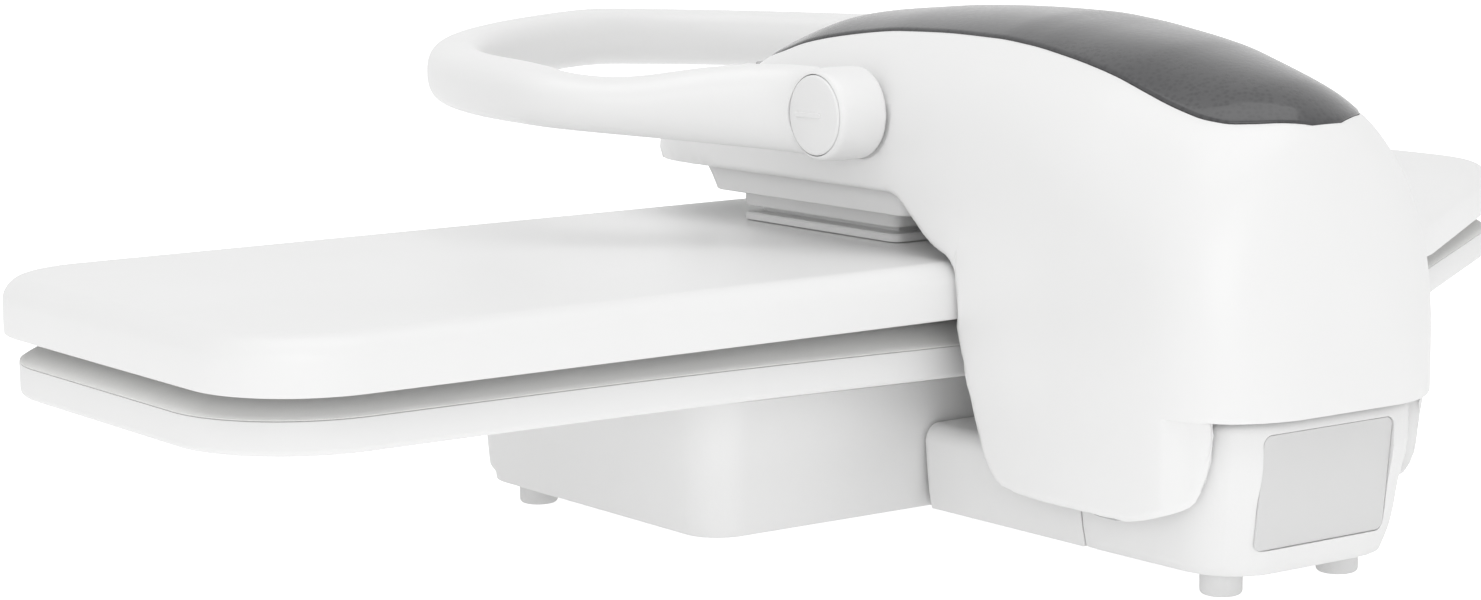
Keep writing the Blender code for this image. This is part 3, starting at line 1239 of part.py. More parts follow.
for side, name in ((1, "card_post_right"), (-1, "card_post_left")):
    post = as_cutter(rod(name, white_plastic, panel_out,
                         on_panel(side * (PANEL_WIDTH / 2 - 2 * PANEL_CORNER), WINDOW_UP, card_high - GAP),
                         card_post, BOARD_CARD_GAP, count=8))
    boolean(card, post, "UNION")

# Handle: two pins in the arm, a loop with a hub on each side, and end caps
pin_look = material("pin_steel", STEEL, 0.3, 1.0)
hub_start = ARM_HALF + RUNNING_GAP
hub_place = (0, along(HUB_REACH), HUB_Z)
for side, name in ((1, "handle_pin_right"), (-1, "handle_pin_left")):
    rod(name, pin_look, (side, 0, 0), (side * (FRAME_HALF + GAP), along(HUB_REACH), HUB_Z),
        PIN_RADIUS, PIN_END - FRAME_HALF - GAP, count=SMALL_ROUND)
boolean(shell, as_cutter(rod("pin_holes", white_plastic, (1, 0, 0), (-PIN_END, along(HUB_REACH), HUB_Z),
                             PIN_RADIUS + GAP, 2 * PIN_END, count=SMALL_ROUND)))

loop_front = HANDLE_REACH - HANDLE_FRONT_WIDTH / 2
bend_length = loop_front - HANDLE_BEND_REACH
half_path = []
for k in range(9):
    share = k / 9
    ease = share * share * (3 - 2 * share)
    half_path.append((lerp(HANDLE_START_X, HANDLE_HALF, ease),
                      lerp(HUB_REACH - HANDLE_END_BEFORE_HUB, -HANDLE_BEND_REACH, share),
                      lerp(HUB_Z, HANDLE_MIDDLE_Z, share)))
for k in range(11):
    angle = math.pi / 2 * k / 10
    half_path.append((HANDLE_HALF - HANDLE_BEND_HALF + HANDLE_BEND_HALF * math.cos(angle),
                      -HANDLE_BEND_REACH - bend_length * math.sin(angle),
                      lerp(HANDLE_MIDDLE_Z, HANDLE_FRONT_Z, (1 - math.cos(angle)) ** 1.5)))
loop_path = half_path + [(-x, s, z) for x, s, z in reversed(half_path)]
loop_path = [(x, along(s), z) for x, s, z in loop_path]


def handle_section(share):
    place = 1 - abs(2 * share - 1)
    front = smooth(HANDLE_FRONT_START_SHARE, HANDLE_FRONT_END_SHARE, place)
    wide = lerp(HANDLE_START_WIDTH, HANDLE_WIDTH, smooth(0, HANDLE_SWELL_SHARE, place))
    wide = lerp(wide, HANDLE_FRONT_WIDTH, front)
    tall = lerp(HANDLE_START_HEIGHT, HANDLE_HEIGHT, smooth(HANDLE_TALL_START_SHARE, HANDLE_TALL_END_SHARE, place))
    tall = lerp(tall, HANDLE_FRONT_HEIGHT, front)
    ring = []
    for k in range(12):
        angle = 2 * math.pi * (k + 0.5) / 12
        c, s = math.cos(angle), math.sin(angle)
        ring.append((wide / 2 * math.copysign(abs(c) ** (2 / HANDLE_POWER), c),
                     tall / 2 * math.copysign(abs(s) ** (2 / HANDLE_POWER), s)))
    return ring


loop = sweep("handle_loop", loop_path, handle_section, material("handle_white", WHITE, 0.35), origin=hub_place)
cap_look = material("cap_white", WHITE, 0.35)
for side, name in ((1, "right"), (-1, "left")):
    hub = as_cutter(rod("hub_" + name, white_plastic, (side, 0, 0), (side * hub_start, along(HUB_REACH), HUB_Z),
                        HUB_RADIUS, HUB_END - hub_start, count=24))
    boolean(loop, hub, "UNION")
    bore = as_cutter(rod("hub_bore_" + name, white_plastic, (side, 0, 0),
                         (side * (hub_start - OVERRUN), along(HUB_REACH), HUB_Z),
                         PIN_RADIUS + GAP, PIN_END + GAP - hub_start + OVERRUN, count=SMALL_ROUND))
    boolean(loop, bore)
    rod("handle_cap_" + name, cap_look, (side, 0, 0), (side * (HUB_END + GAP), along(HUB_REACH), HUB_Z),
        CAP_RADIUS, CAP_END - HUB_END - GAP, edge=CAP_EDGE, origin=hub_place)
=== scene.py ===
import math

import bmesh
import bpy
import numpy as np
from mathutils import Matrix, Vector


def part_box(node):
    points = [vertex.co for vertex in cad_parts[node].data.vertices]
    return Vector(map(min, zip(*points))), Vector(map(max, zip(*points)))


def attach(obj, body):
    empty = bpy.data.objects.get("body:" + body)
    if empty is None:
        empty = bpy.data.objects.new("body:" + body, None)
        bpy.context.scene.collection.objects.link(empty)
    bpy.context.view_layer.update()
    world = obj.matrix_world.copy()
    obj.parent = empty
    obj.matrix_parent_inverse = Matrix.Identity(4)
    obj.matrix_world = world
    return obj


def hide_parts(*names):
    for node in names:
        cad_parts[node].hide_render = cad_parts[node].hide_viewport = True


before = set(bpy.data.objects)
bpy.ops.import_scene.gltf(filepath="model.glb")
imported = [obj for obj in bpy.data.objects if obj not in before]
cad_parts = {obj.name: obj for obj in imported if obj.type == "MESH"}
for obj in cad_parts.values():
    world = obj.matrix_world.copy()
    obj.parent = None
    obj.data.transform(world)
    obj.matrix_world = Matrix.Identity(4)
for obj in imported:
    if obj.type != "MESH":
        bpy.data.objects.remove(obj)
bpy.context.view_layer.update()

# Camera, floor and light
AZIMUTH = math.radians(143.8333)
ELEVATION = math.radians(8.5110)
ROLL = math.radians(-0.5258)
LENS = 85.80
CAMERA_PLACE = Vector((0.7985, 0.9847, 0.2608))


def placed(name, data):
    thing = bpy.data.objects.new(name, data)
    bpy.context.scene.collection.objects.link(thing)
    return thing


def wired(tree, kind, settings=None, **sockets):
    """A new node. Each socket, by its name or as i0, is linked to the output given, or set to the value."""
    node = tree.nodes.new(kind)
    for key, value in (settings or {}).items():
        setattr(node, key, value)
    for key, value in sockets.items():
        socket = node.inputs[int(key[1:])] if key[1:].isdigit() else node.inputs[key.replace("_", " ")]
        if isinstance(value, bpy.types.NodeSocket):
            tree.links.new(value, socket)
        else:
            socket.default_value = value
    return node


def place_camera():
    """The camera's axes: right, up and back, turned by the azimuth, the elevation and then the roll."""
    back = Vector((math.sin(AZIMUTH) * math.cos(ELEVATION), -math.cos(AZIMUTH) * math.cos(ELEVATION),
                   math.sin(ELEVATION)))
    level = Vector((math.cos(AZIMUTH), math.sin(AZIMUTH), 0))
    upright = back.cross(level)
    right = level * math.cos(ROLL) + upright * math.sin(ROLL)
    up = upright * math.cos(ROLL) - level * math.sin(ROLL)
    data = bpy.data.cameras.new("camera")
    data.lens = LENS
    data.sensor_width = 36
    data.sensor_fit = "HORIZONTAL"
    data.clip_start = 0.01
    camera = placed("camera", data)
    turn = Matrix((right, up, back)).transposed().to_4x4()
    camera.matrix_world = Matrix.Translation(CAMERA_PLACE) @ turn
    bpy.context.scene.camera = camera


def area_lamp(name, place, target, size, power):
    data = bpy.data.lights.new(name, "AREA")
    data.shape = "RECTANGLE"
    data.size, data.size_y = size
    data.energy = power
    away = Vector(place) - Vector(target)
    placed(name, data).matrix_world = (Matrix.Translation(place)
                                       @ away.to_track_quat("Z", "Y").to_matrix().to_4x4())


def direct_ray(tree, others=("Is Glossy Ray", "Is Transmission Ray")):
    """1 for rays from the camera and of the other kinds named, and 0 for the rays that light things."""
    path = wired(tree, "ShaderNodeLightPath").outputs
    seen = path["Is Camera Ray"]
    for kind in others:
        seen = wired(tree, "ShaderNodeMath", {"operation": "MAXIMUM"}, i0=seen, i1=path[kind]).outputs[0]
    return seen


def white_world(low, high):
    """White where it is seen; on everything else a soft light that grows from the horizon to overhead."""
    world = bpy.data.worlds.new("studio")
    bpy.context.scene.world = world
    world.use_nodes = True
    tree = world.node_tree
    parts = wired(tree, "ShaderNodeSeparateXYZ", i0=wired(tree, "ShaderNodeTexCoord").outputs["Generated"])
    height = wired(tree, "ShaderNodeMapRange", Value=parts.outputs["Z"], To_Min=low, To_Max=high)
    level = wired(tree, "ShaderNodeMix", i0=direct_ray(tree), i2=height.outputs[0], i3=1.0)
    shade = tree.nodes["Background"]
    shade.inputs["Color"].default_value = (1, 1, 1, 1)
    tree.links.new(level.outputs[0], shade.inputs["Strength"])


def grey(level, warm=0.0):
    return (level, level, level * (1 - warm), 1.0)


def new_look(name, **sockets):
    look = bpy.data.materials.new(name)
    look.use_nodes = True
    shader = look.node_tree.nodes["Principled BSDF"]
    for key, value in sockets.items():
        shader.inputs[key.replace("_", " ")].default_value = value
    return look, look.node_tree, shader


def white_floor(size, glow, lift):
    """A pale light table: a low lift lights things, and a higher glow is seen, so the shadow is faint."""
    corners = [(-size, -size, 0), (size, -size, 0), (size, size, 0), (-size, size, 0)]
    mesh = bpy.data.meshes.new("floor")
    mesh.from_pydata(corners, [], [(0, 1, 2, 3)])
    floor = placed("floor", mesh)
    look, tree, shader = new_look("floor_white", Base_Color=grey(0.86), Roughness=0.95,
                                  Specular_IOR_Level=0.0, Emission_Color=grey(1.0))
    level = wired(tree, "ShaderNodeMix", i0=direct_ray(tree, ("Is Transmission Ray",)), i2=lift, i3=glow)
    tree.links.new(level.outputs[0], shader.inputs["Emission Strength"])
    mesh.materials.append(look)


place_camera()
area_lamp("top_lamp", (0.2, 0.4, 1.9), (0, 0, 0.1), (2.2, 1.6), 11)
area_lamp("rear_lamp", (1.5, 1.9, 0.7), (0, 0, 0.1), (2.0, 1.0), 7.5)
white_world(0.74, 0.68)
white_floor(30, 0.75, 0.32)
bpy.context.scene.view_settings.view_transform = "Standard"


# Shader groups
class Effect:
    """A node group that gives a colour, a roughness and a height; its methods add nodes."""

    def __init__(self, name, **inputs):
        self.tree = bpy.data.node_groups.new(name, "ShaderNodeTree")
        sockets = self.tree.interface
        for title, value in inputs.items():
            kind = "NodeSocketColor" if isinstance(value, tuple) else "NodeSocketFloat"
            socket = sockets.new_socket(title.replace("_", " "), in_out="INPUT", socket_type=kind)
            socket.default_value = value
        sockets.new_socket("Colour", in_out="OUTPUT", socket_type="NodeSocketColor")
        for title in ("Roughness", "Height"):
            sockets.new_socket(title, in_out="OUTPUT", socket_type="NodeSocketFloat")
        self.given = wired(self.tree, "NodeGroupInput").outputs
        self.place = wired(self.tree, "ShaderNodeTexCoord").outputs["Object"]

    def maths(self, operation, first, second=0.0):
        return wired(self.tree, "ShaderNodeMath", {"operation": operation}, i0=first, i1=second).outputs[0]

    def times(self, first, second):
        return self.maths("MULTIPLY", first, second)

    def plus(self, first, second):
        return self.maths("ADD", first, second)

    def minus(self, first, second):
        return self.maths("SUBTRACT", first, second)

    def noise(self, scale, detail):
        node = wired(self.tree, "ShaderNodeTexNoise", Vector=self.place, Scale=scale, Detail=detail)
        return node.outputs["Fac"]

    def streaks(self, scales, detail, bend=0.0):
        """Noise with its own scale along each axis."""
        place = wired(self.tree, "ShaderNodeMapping", Vector=self.place, Scale=scales).outputs[0]
        node = wired(self.tree, "ShaderNodeTexNoise", Vector=place, Scale=1.0, Detail=detail, Distortion=bend)
        return node.outputs["Fac"]

    def ranged(self, value, **ends):
        return wired(self.tree, "ShaderNodeMapRange", Value=value, **ends).outputs[0]

    def mixed(self, share, first, second):
        node = wired(self.tree, "ShaderNodeMix", {"data_type": "RGBA"}, i0=share, i6=first, i7=second)
        return node.outputs[2]

    def gloss(self, share):
        """The given gloss, with the share of the given spread added."""
        return self.plus(self.given["Gloss"], self.times(share, self.given["Spread"]))

    def giving(self, colour, roughness, height):
        wired(self.tree, "NodeGroupOutput", Colour=colour, Roughness=roughness, Height=height)
        return self.tree


def moulded_group():
    """Moulded plastic: slow clouds of tint, a fine pebbled grain, and hair scuffs that take the gloss off."""
    effect = Effect("moulded", Colour=grey(0.8), Tint=grey(0.7), Tint_Share=0.3, Cloud_Scale=9.0,
                    Grain_Scale=900.0, Gloss=0.35, Spread=0.1, Scuffs=0.1)
    given = effect.given
    cloud = effect.noise(given["Cloud Scale"], 4.0)
    grain = effect.noise(given["Grain Scale"], 2.0)
    lines = effect.ranged(effect.streaks((30, 620, 260), 3.0, 0.35), From_Min=0.64, From_Max=0.74)
    where = effect.ranged(effect.noise(14.0, 1.0), From_Min=0.50, From_Max=0.72)
    scuffs = effect.times(effect.times(lines, where), given["Scuffs"])
    colour = effect.mixed(effect.times(cloud, given["Tint Share"]), given["Colour"], given["Tint"])
    gloss = effect.gloss(effect.minus(cloud, 0.5))
    return effect.giving(colour, effect.plus(gloss, scuffs), effect.minus(grain, scuffs))


def brushed_group():
    """Metal drawn or brushed along one axis: noise stretched along it, in colour, roughness and height."""
    effect = Effect("brushed", Colour=grey(0.6), Dark=grey(0.4), Gloss=0.35, Spread=0.2)
    streak = effect.streaks((14, 700, 700), 4.0)
    both = effect.times(streak, effect.streaks((22, 22, 22), 5.0))
    colour = effect.mixed(both, effect.given["Colour"], effect.given["Dark"])
    return effect.giving(colour, effect.gloss(both), streak)


def woven_group():
    """Plain weave: two rows of round threads, crossed; each is on top in every other square, and the low
    places between them are painted darker as painted shade.
    """
    effect = Effect("woven", Colour=grey(0.8), Hollow=grey(0.5), Threads=1100.0, Slub=0.3)
    given = effect.given
    parts = wired(effect.tree, "ShaderNodeSeparateXYZ", Vector=effect.place).outputs
    shifted = effect.times(effect.noise(60.0, 2.0), 0.0016)
    waves = [effect.maths("SINE", effect.times(effect.plus(parts[axis], shifted), given["Threads"]))
             for axis in ("X", "Y")]
    over = effect.maths("GREATER_THAN", effect.times(*waves), 0.0)
    tops = [effect.times(effect.maths("ABSOLUTE", wave), share)
            for wave, share in zip(waves, (over, effect.minus(1.0, over)))]
    worn = effect.times(effect.streaks((40, 900, 60), 3.0), given["Slub"])
    depth = effect.minus(effect.plus(*tops), worn)
    low = effect.ranged(depth, From_Min=0.9, From_Max=0.1)
    # Painted shade: the low places between the threads get the darker second colour.
    colour = effect.mixed(low, given["Colour"], given["Hollow"])
    return effect.giving(colour, effect.ranged(low, To_Min=0.82, To_Max=0.98), depth)


def cells_group():
    """Round cells side by side: low middles painted darker as painted shade, darker random patches, and
    raised borders, with their size set by the scale.
    """
    effect = Effect("cells", Colour=grey(0.7), Hollow=grey(0.4), Scale=900.0, Gloss=0.4, Spread=0.3)
    given = effect.given
    cell = wired(effect.tree, "ShaderNodeTexVoronoi", Vector=effect.place, Scale=given["Scale"])
    rim = effect.ranged(cell.outputs["Distance"], From_Min=0.15, From_Max=0.6)
    share = effect.times(rim, effect.noise(35.0, 3.0))
    # Partly painted shade: the cells' low middles get the darker second colour; the noise also darkens random
    # patches, which is the material's own tone.
    colour = effect.mixed(share, given["Hollow"], given["Colour"])
    return effect.giving(colour, effect.gloss(share), rim)


MOULDED = moulded_group()
BRUSHED = brushed_group()
WOVEN = woven_group()
CELLS = cells_group()


def surface_look(name, nodes, group, values, bump, depth, **sockets):
    """A Principled material with colour, roughness and bump from a group, put on these CAD nodes."""
    look, tree, shader = new_look(name, **sockets)
    effect = wired(tree, "ShaderNodeGroup", {"node_tree": group}, **values).outputs
    relief = wired(tree, "ShaderNodeBump", Height=effect["Height"], Strength=bump, Distance=depth)
    tree.links.new(effect["Colour"], shader.inputs["Base Color"])
    tree.links.new(effect["Roughness"], shader.inputs["Roughness"])
    tree.links.new(relief.outputs[0], shader.inputs["Normal"])
    for node in nodes:
        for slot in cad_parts[node].material_slots:
            slot.material = look


def plastic(name, nodes, level, gloss, grain=900.0, bump=0.10, tint=0.94, scuffs=0.12, **sockets):
    values = dict(Colour=grey(level), Tint=grey(level * tint, 0.006), Tint_Share=0.8, Grain_Scale=grain,
                  Gloss=gloss, Spread=0.12, Scuffs=scuffs)
    surface_look(name, nodes, MOULDED, values, bump, 0.0002, **sockets)


def metal(name, nodes, colour, gloss, spread=0.25, bump=0.15):
    dark = tuple(part * 0.62 for part in colour)
    values = dict(Colour=(*colour, 1.0), Dark=(*dark, 1.0), Gloss=gloss, Spread=spread)
    surface_look(name, nodes, BRUSHED, values, bump, 0.0001, Metallic=1.0)


def cells(name, nodes, colour, hollow, scale, gloss, spread, bump, depth, **sockets):
    values = dict(Colour=(*colour, 1.0), Hollow=(*hollow, 1.0), Scale=scale, Gloss=gloss, Spread=spread)
    surface_look(name, nodes, CELLS, values, bump, depth, **sockets)


FEET = ("foot_front_left", "foot_front_right", "foot_rear_left", "foot_rear_right")
SCREWS = ("base_screw_1", "base_screw_2", "base_screw_3", "base_screw_4")
SPRINGS = ("counterbalance_spring_left", "counterbalance_spring_right", "pressure_spring")
PINS = ("hinge_shaft", "handle_pin_left", "handle_pin_right")
BUTTONS = ("button_power", "button_steam", "button_heat_down", "button_heat_up")

plastic("shell_white", ["arm_shell"], 0.86, 0.33, bump=0.06)
plastic("plate_white", ["plate_housing"], 0.86, 0.36, bump=0.08)
plastic("handle_white", ["handle_loop"], 0.86, 0.34, bump=0.06)
plastic("cap_white", ["handle_cap_left", "handle_cap_right"], 0.86, 0.38, grain=1300.0)
plastic("lower_cover_white", ["lower_cover"], 0.83, 0.40)
plastic("neck_white", ["plate_neck"], 0.82, 0.42)
plastic("base_white", ["front_housing", "middle_housing", "rear_housing"], 0.84, 0.42, grain=700.0,
        bump=0.16)
plastic("pan_white", ["board_pan"], 0.84, 0.40, grain=700.0, bump=0.14)
plastic("rating_plate_grey", ["rating_plate"], 0.70, 0.48, grain=1800.0, bump=0.12, tint=0.90)
plastic("pale_rubber", [*FEET, "cord_gland"], 0.80, 0.70, grain=420.0, bump=0.45, tint=0.86, scuffs=0.2)
plastic("inside_white", ["base_tray", "terminal_block", "arm_inner_cover", "tank_valve"], 0.80, 0.55,
        grain=500.0, bump=0.3)
plastic("button_white", BUTTONS, 0.82, 0.30, grain=1500.0)
plastic("panel_dark", ["control_panel"], 0.045, 0.26, grain=1500.0, bump=0.08, tint=0.7)
plastic("pump_dark", ["pump"], 0.05, 0.50, grain=400.0, bump=0.5, tint=0.6, scuffs=0.25)
plastic("silicone_tube", ["steam_pipe"], 0.74, 0.46, grain=260.0, bump=0.1, tint=0.9)
plastic("window_dark", ["display_window"], 0.035, 0.12, grain=600.0, bump=0.02, tint=0.6, scuffs=0.05,
        Coat_Weight=0.4)
plastic("ceramic", ["thermostat"], 0.78, 0.60, grain=300.0, bump=0.5, tint=0.85)
metal("bright_steel", [*SCREWS, *SPRINGS, *PINS, "thermal_fuse"], (0.60, 0.60, 0.61), 0.22)
metal("frame_steel", ["arm_frame", "pump_bracket"], (0.55, 0.55, 0.56), 0.34, 0.35, 0.3)
metal("board_steel", ["board_plate"], (0.58, 0.58, 0.58), 0.36, 0.3, 0.3)
metal("element_steel", ["heating_element"], (0.40, 0.36, 0.33), 0.42, 0.4, 0.4)
metal("cast_aluminium", ["sole_plate"], (0.74, 0.74, 0.75), 0.26, 0.2, 0.15)
metal("brass", ["hinge_bush_left", "hinge_bush_right", "steam_inlet"], (0.74, 0.56, 0.27), 0.30)
# In these cell materials the darker second colour is painted shade in the cells' low middles, with darker
# random patches of the material's own tone.
cells("card_green", ["control_board"], (0.05, 0.28, 0.11), (0.02, 0.16, 0.06), 420.0, 0.35, 0.3, 0.2, 0.0002)
cells("foam_cream", ["board_pad"], (0.84, 0.80, 0.66), (0.62, 0.56, 0.42), 700.0, 0.85, 0.1, 0.8, 0.0006)
cells("smoked_plastic", ["tank_cover"], (0.072, 0.072, 0.075), (0.040, 0.040, 0.043), 520.0, 0.20, 0.10, 0.12,
      0.0002, Coat_Weight=0.30)
# The cover's darker second colour is painted shade in the weave's low places.
surface_look("cotton_white", ["board_cover"], WOVEN,
             dict(Colour=(0.82, 0.82, 0.80, 1), Hollow=(0.72, 0.72, 0.71, 1), Threads=9000.0),
             0.12, 0.0002, Sheen_Weight=0.1)
surface_look("clear_tank", ["water_tank"], MOULDED,
             dict(Colour=(0.86, 0.90, 0.92, 1), Tint=(0.78, 0.85, 0.88, 1), Gloss=0.08, Spread=0.05,
                  Grain_Scale=200.0), 0.03, 0.0002, Transmission_Weight=0.85, IOR=1.46)


# Curves and meshes
def steady(knots, where):
    """Monotone cubic: Hermite spans whose slopes are weighted harmonic means of the neighbouring slopes."""
    x, y = np.asarray(knots, float).T
    step = np.diff(x)
    rise = np.diff(y) / step
    before, after = rise[:-1], rise[1:]
    same = before * after > 0
    near, far = 2 * step[1:] + step[:-1], step[1:] + 2 * step[:-1]
    mean = (near + far) / (near / np.where(same, before, 1) + far / np.where(same, after, 1))
    slope = np.concatenate(([rise[0]], np.where(same, mean, 0), [rise[-1]]))
    where = np.clip(where, x[0], x[-1])
    i = np.clip(np.searchsorted(x, where, side="right") - 1, 0, len(step) - 1)
    t = (where - x[i]) / step[i]
    return ((1 + 2 * t) * (1 - t) ** 2 * y[i] + t * (1 - t) ** 2 * step[i] * slope[i]
            + t * t * (3 - 2 * t) * y[i + 1] + t * t * (t - 1) * step[i] * slope[i + 1])


def eased(low, high, value):
    share = np.clip((value - low) / (high - low), 0, 1)
    return share * share * (3 - 2 * share)


def rounded(corners, step=0.006, arc=20):
    """Points and outward normals of a polygon, anticlockwise, whose corners are arcs of their own radius."""
    places = np.array([corner[:2] for corner in corners], float)
    radii = np.array([corner[2] for corner in corners], float)
    ahead = np.roll(places, -1, axis=0) - places
    ahead /= np.linalg.norm(ahead, axis=1)[:, None]
    behind = np.roll(ahead, 1, axis=0)
    turn = np.arctan2(behind[:, 0] * ahead[:, 1] - behind[:, 1] * ahead[:, 0], (behind * ahead).sum(axis=1))
    tangent = radii * np.tan(np.abs(turn) / 2)
    first = places - behind * tangent[:, None]
    last = places + ahead * tangent[:, None]
    points, normals = [], []
    for i in range(len(places)):
        outward = np.array((behind[i, 1], -behind[i, 0]))
        centre = first[i] - outward * radii[i]
        angle = math.atan2(outward[1], outward[0]) + turn[i] * np.linspace(0, 1, arc + 1)
        around = np.stack((np.cos(angle), np.sin(angle)), axis=1)
        points.append(centre + radii[i] * around)
        normals.append(around)
        end = first[(i + 1) % len(places)]
        parts = max(2, int(np.linalg.norm(end - last[i]) / step))
        share = (np.arange(1, parts) / parts)[:, None]
        points.append(last[i] + (end - last[i]) * share)
        normals.append(np.repeat(around[-1:], parts - 1, axis=0))
    return np.concatenate(points), np.concatenate(normals)


def rounded_box(low, high, corner, **options):
    """The same for a rectangle, from its low and high corners."""
    (left, front), (right, rear) = low, high
    corners = ((left, front), (right, front), (right, rear), (left, rear))
    return rounded([(*place, corner) for place in corners], **options)


def respaced(points, shares=None):
    """A closed outline's points moved to the given shares of its length, or to its own, and the shares."""
    looped = np.concatenate((points, points[:1]))
    length = np.concatenate(([0], np.cumsum(np.linalg.norm(np.diff(looped, axis=0), axis=1))))
    if shares is None:
        shares = length[:-1] / length[-1]
    places = [np.interp(shares * length[-1], length, looped[:, axis]) for axis in (0, 1)]
    return np.stack(places, axis=1), shares


def ring_stack(levels, ring, shares=None):
    """One ring for each (height, inset), all with their points at the same shares of the length around."""
    rows = []
    for z, inset in levels:
        points, shares = respaced(ring(z, inset), shares)
        rows.append(np.column_stack((points, np.full(len(points), z))))
    return np.array(rows)


def levels_grid(outline, levels):
    """One ring for each (height, inset): the outline moved in along its normals."""
    points, normals = outline
    heights, insets = np.asarray(levels, float).T
    flat = points[None] - normals[None] * insets[:, None, None]
    tall = np.broadcast_to(heights[:, None, None], flat.shape[:2] + (1,))
    return np.concatenate((flat, tall), axis=2)


def inward(ring, middle, reach, steps=8, least=0.004):
    """Rings that shrink from the given one towards a straight middle line of half length reach."""
    target = ring.copy()
    target[:, 0] = middle[0] + np.clip(ring[:, 0] - middle[0], -reach, reach)
    target[:, 1] = middle[1]
    share = np.linspace(1, least, steps + 1)[1:, None, None]
    return target[None] + (ring - target)[None] * share


def turn_in(radius, steps=6):
    """Quarter of a round edge, as (rise, inset) from the side to the top."""
    angle = np.linspace(0, math.pi / 2, steps + 1)[1:]
    return np.stack((radius * np.sin(angle), radius * (1 - np.cos(angle))), axis=1)


def rounded_top(z, inset, radius, steps=6):
    return [(z - radius + rise, inset + side) for rise, side in turn_in(radius, steps)]


def rounded_foot(z, inset, radius, steps=6):
    return [(z + radius - rise, inset + side) for rise, side in turn_in(radius, steps)[::-1]]


def arc(middle, radius, first, last, count):
    """Points of a profile on a circle, between two angles from the outward direction."""
    return [(middle[0] + radius * math.cos(angle), middle[1] + radius * math.sin(angle))
            for angle in np.linspace(first, last, count)]


def turned_grid(profile, place, axis, count=64):
    """Profile of (radius, distance) turned about an axis through the place."""
    axis = np.asarray(axis, float) / np.linalg.norm(axis)
    side = np.cross(axis, (0, 0, 1) if abs(axis[2]) < 0.9 else (1, 0, 0))
    side /= np.linalg.norm(side)
    other = np.cross(axis, side)
    angle = np.linspace(0, 2 * math.pi, count, endpoint=False)
    around = np.cos(angle)[:, None] * side + np.sin(angle)[:, None] * other
    radius, distance = np.asarray(profile, float).T
    return np.asarray(place) + radius[:, None, None] * around[None] + distance[:, None, None] * axis


def swept_grid(path, wide, tall, power, count=40):
    """A superellipse of the given width and height, |x/a|^p + |y/b|^p = 1, carried along a path, upright."""
    ahead = np.gradient(path, axis=0)
    ahead /= np.linalg.norm(ahead, axis=1)[:, None]
    across = np.cross(ahead, (0, 0, 1))
    across /= np.linalg.norm(across, axis=1)[:, None]
    up = np.cross(across, ahead)
    angle = np.linspace(0, 2 * math.pi, count, endpoint=False)
    c, s = np.cos(angle), np.sin(angle)
    side = np.sign(c) * np.abs(c) ** (2 / power)
    rise = np.sign(s) * np.abs(s) ** (2 / power)
    return (path[:, None] + across[:, None] * (wide[:, None] / 2 * side)[..., None]
            + up[:, None] * (tall[:, None] / 2 * rise)[..., None])


def faces_of(rows, columns, wrap_rows, wrap_columns, offset):
    """Quads between neighbouring grid points, by index."""
    index = np.arange(rows * columns).reshape(rows, columns) + offset
    if wrap_rows:
        index = np.concatenate((index, index[:1]))
    if wrap_columns:
        index = np.concatenate((index, index[:, :1]), axis=1)
    return np.stack((index[:-1, :-1], index[:-1, 1:], index[1:, 1:], index[1:, :-1]), axis=2).reshape(-1, 4)


def mesh_of(name, grids, capped=True, wrap=True, cyclic=False, merge=None):
    """Grids of points as one mesh with its normals outwards; with a merge distance its seams are joined."""
    points, faces, ends, offset = [], [], [], 0
    for grid in grids:
        rows, columns = grid.shape[:2]
        points.append(grid.reshape(-1, 3))
        faces += faces_of(rows, columns, cyclic, wrap, offset).tolist()
        if capped and not cyclic:
            ends += [(np.arange(columns) + offset + row * columns).tolist() for row in (0, rows - 1)]
        offset += rows * columns
    mesh = bpy.data.meshes.new(name)
    mesh.from_pydata(np.concatenate(points), [], faces + ends)
    bm = bmesh.new()
    bm.from_mesh(mesh)
    if merge:
        bmesh.ops.remove_doubles(bm, verts=bm.verts, dist=merge)
        bmesh.ops.dissolve_degenerate(bm, edges=bm.edges, dist=merge)
    bmesh.ops.recalc_face_normals(bm, faces=bm.faces)
    if merge:
        many_sided = [face for face in bm.faces if len(face.verts) > 4]
        bmesh.ops.triangulate(bm, faces=many_sided, ngon_method="BEAUTY")
        open_edges = sum(not edge.is_manifold for edge in bm.edges)
        if open_edges:
            print("open edges:", name, open_edges)
    bm.to_mesh(mesh)
    bm.free()
    return mesh


def look_of(node):
    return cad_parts[node].material_slots[0].material


def solid(name, grids, body, node, slot="white_plastic", angle=40, merge=2e-6, **options):
    """A smooth shaded piece that rides on a body and stands in, with its look, for a node of the part."""
    mesh = mesh_of(name, grids, merge=merge, **options)
    mesh.materials.append(look_of(node))
    mesh.shade_smooth()
    mesh.set_sharp_from_angle(angle=math.radians(angle))
    piece = placed(name, mesh)
    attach(piece, body)
    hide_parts(node)
    return piece


def applied(piece, kind, **settings):
    modifier = piece.modifiers.new(kind.lower(), kind)
    for key, value in settings.items():
        setattr(modifier, key, value)
    with bpy.context.temp_override(object=piece, active_object=piece, selected_objects=[piece]):
        bpy.ops.object.modifier_apply(modifier=modifier.name)


def cut(piece, name, grid, operation="DIFFERENCE", angle=40):
    """Cuts a closed form out of a piece, or joins it on, and drops the form."""
    tool = placed(name, mesh_of(name, [grid]))
    applied(piece, "BOOLEAN", operation=operation, solver="EXACT", object=tool)
    bpy.data.objects.remove(tool, do_unlink=True)
    piece.data.set_sharp_from_angle(angle=math.radians(angle))


# Sizes, the solids' own where they share a form
def box_of(node):
    return [np.array(corner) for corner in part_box(node)]


def between(low, high, share):
    return low + (high - low) * share


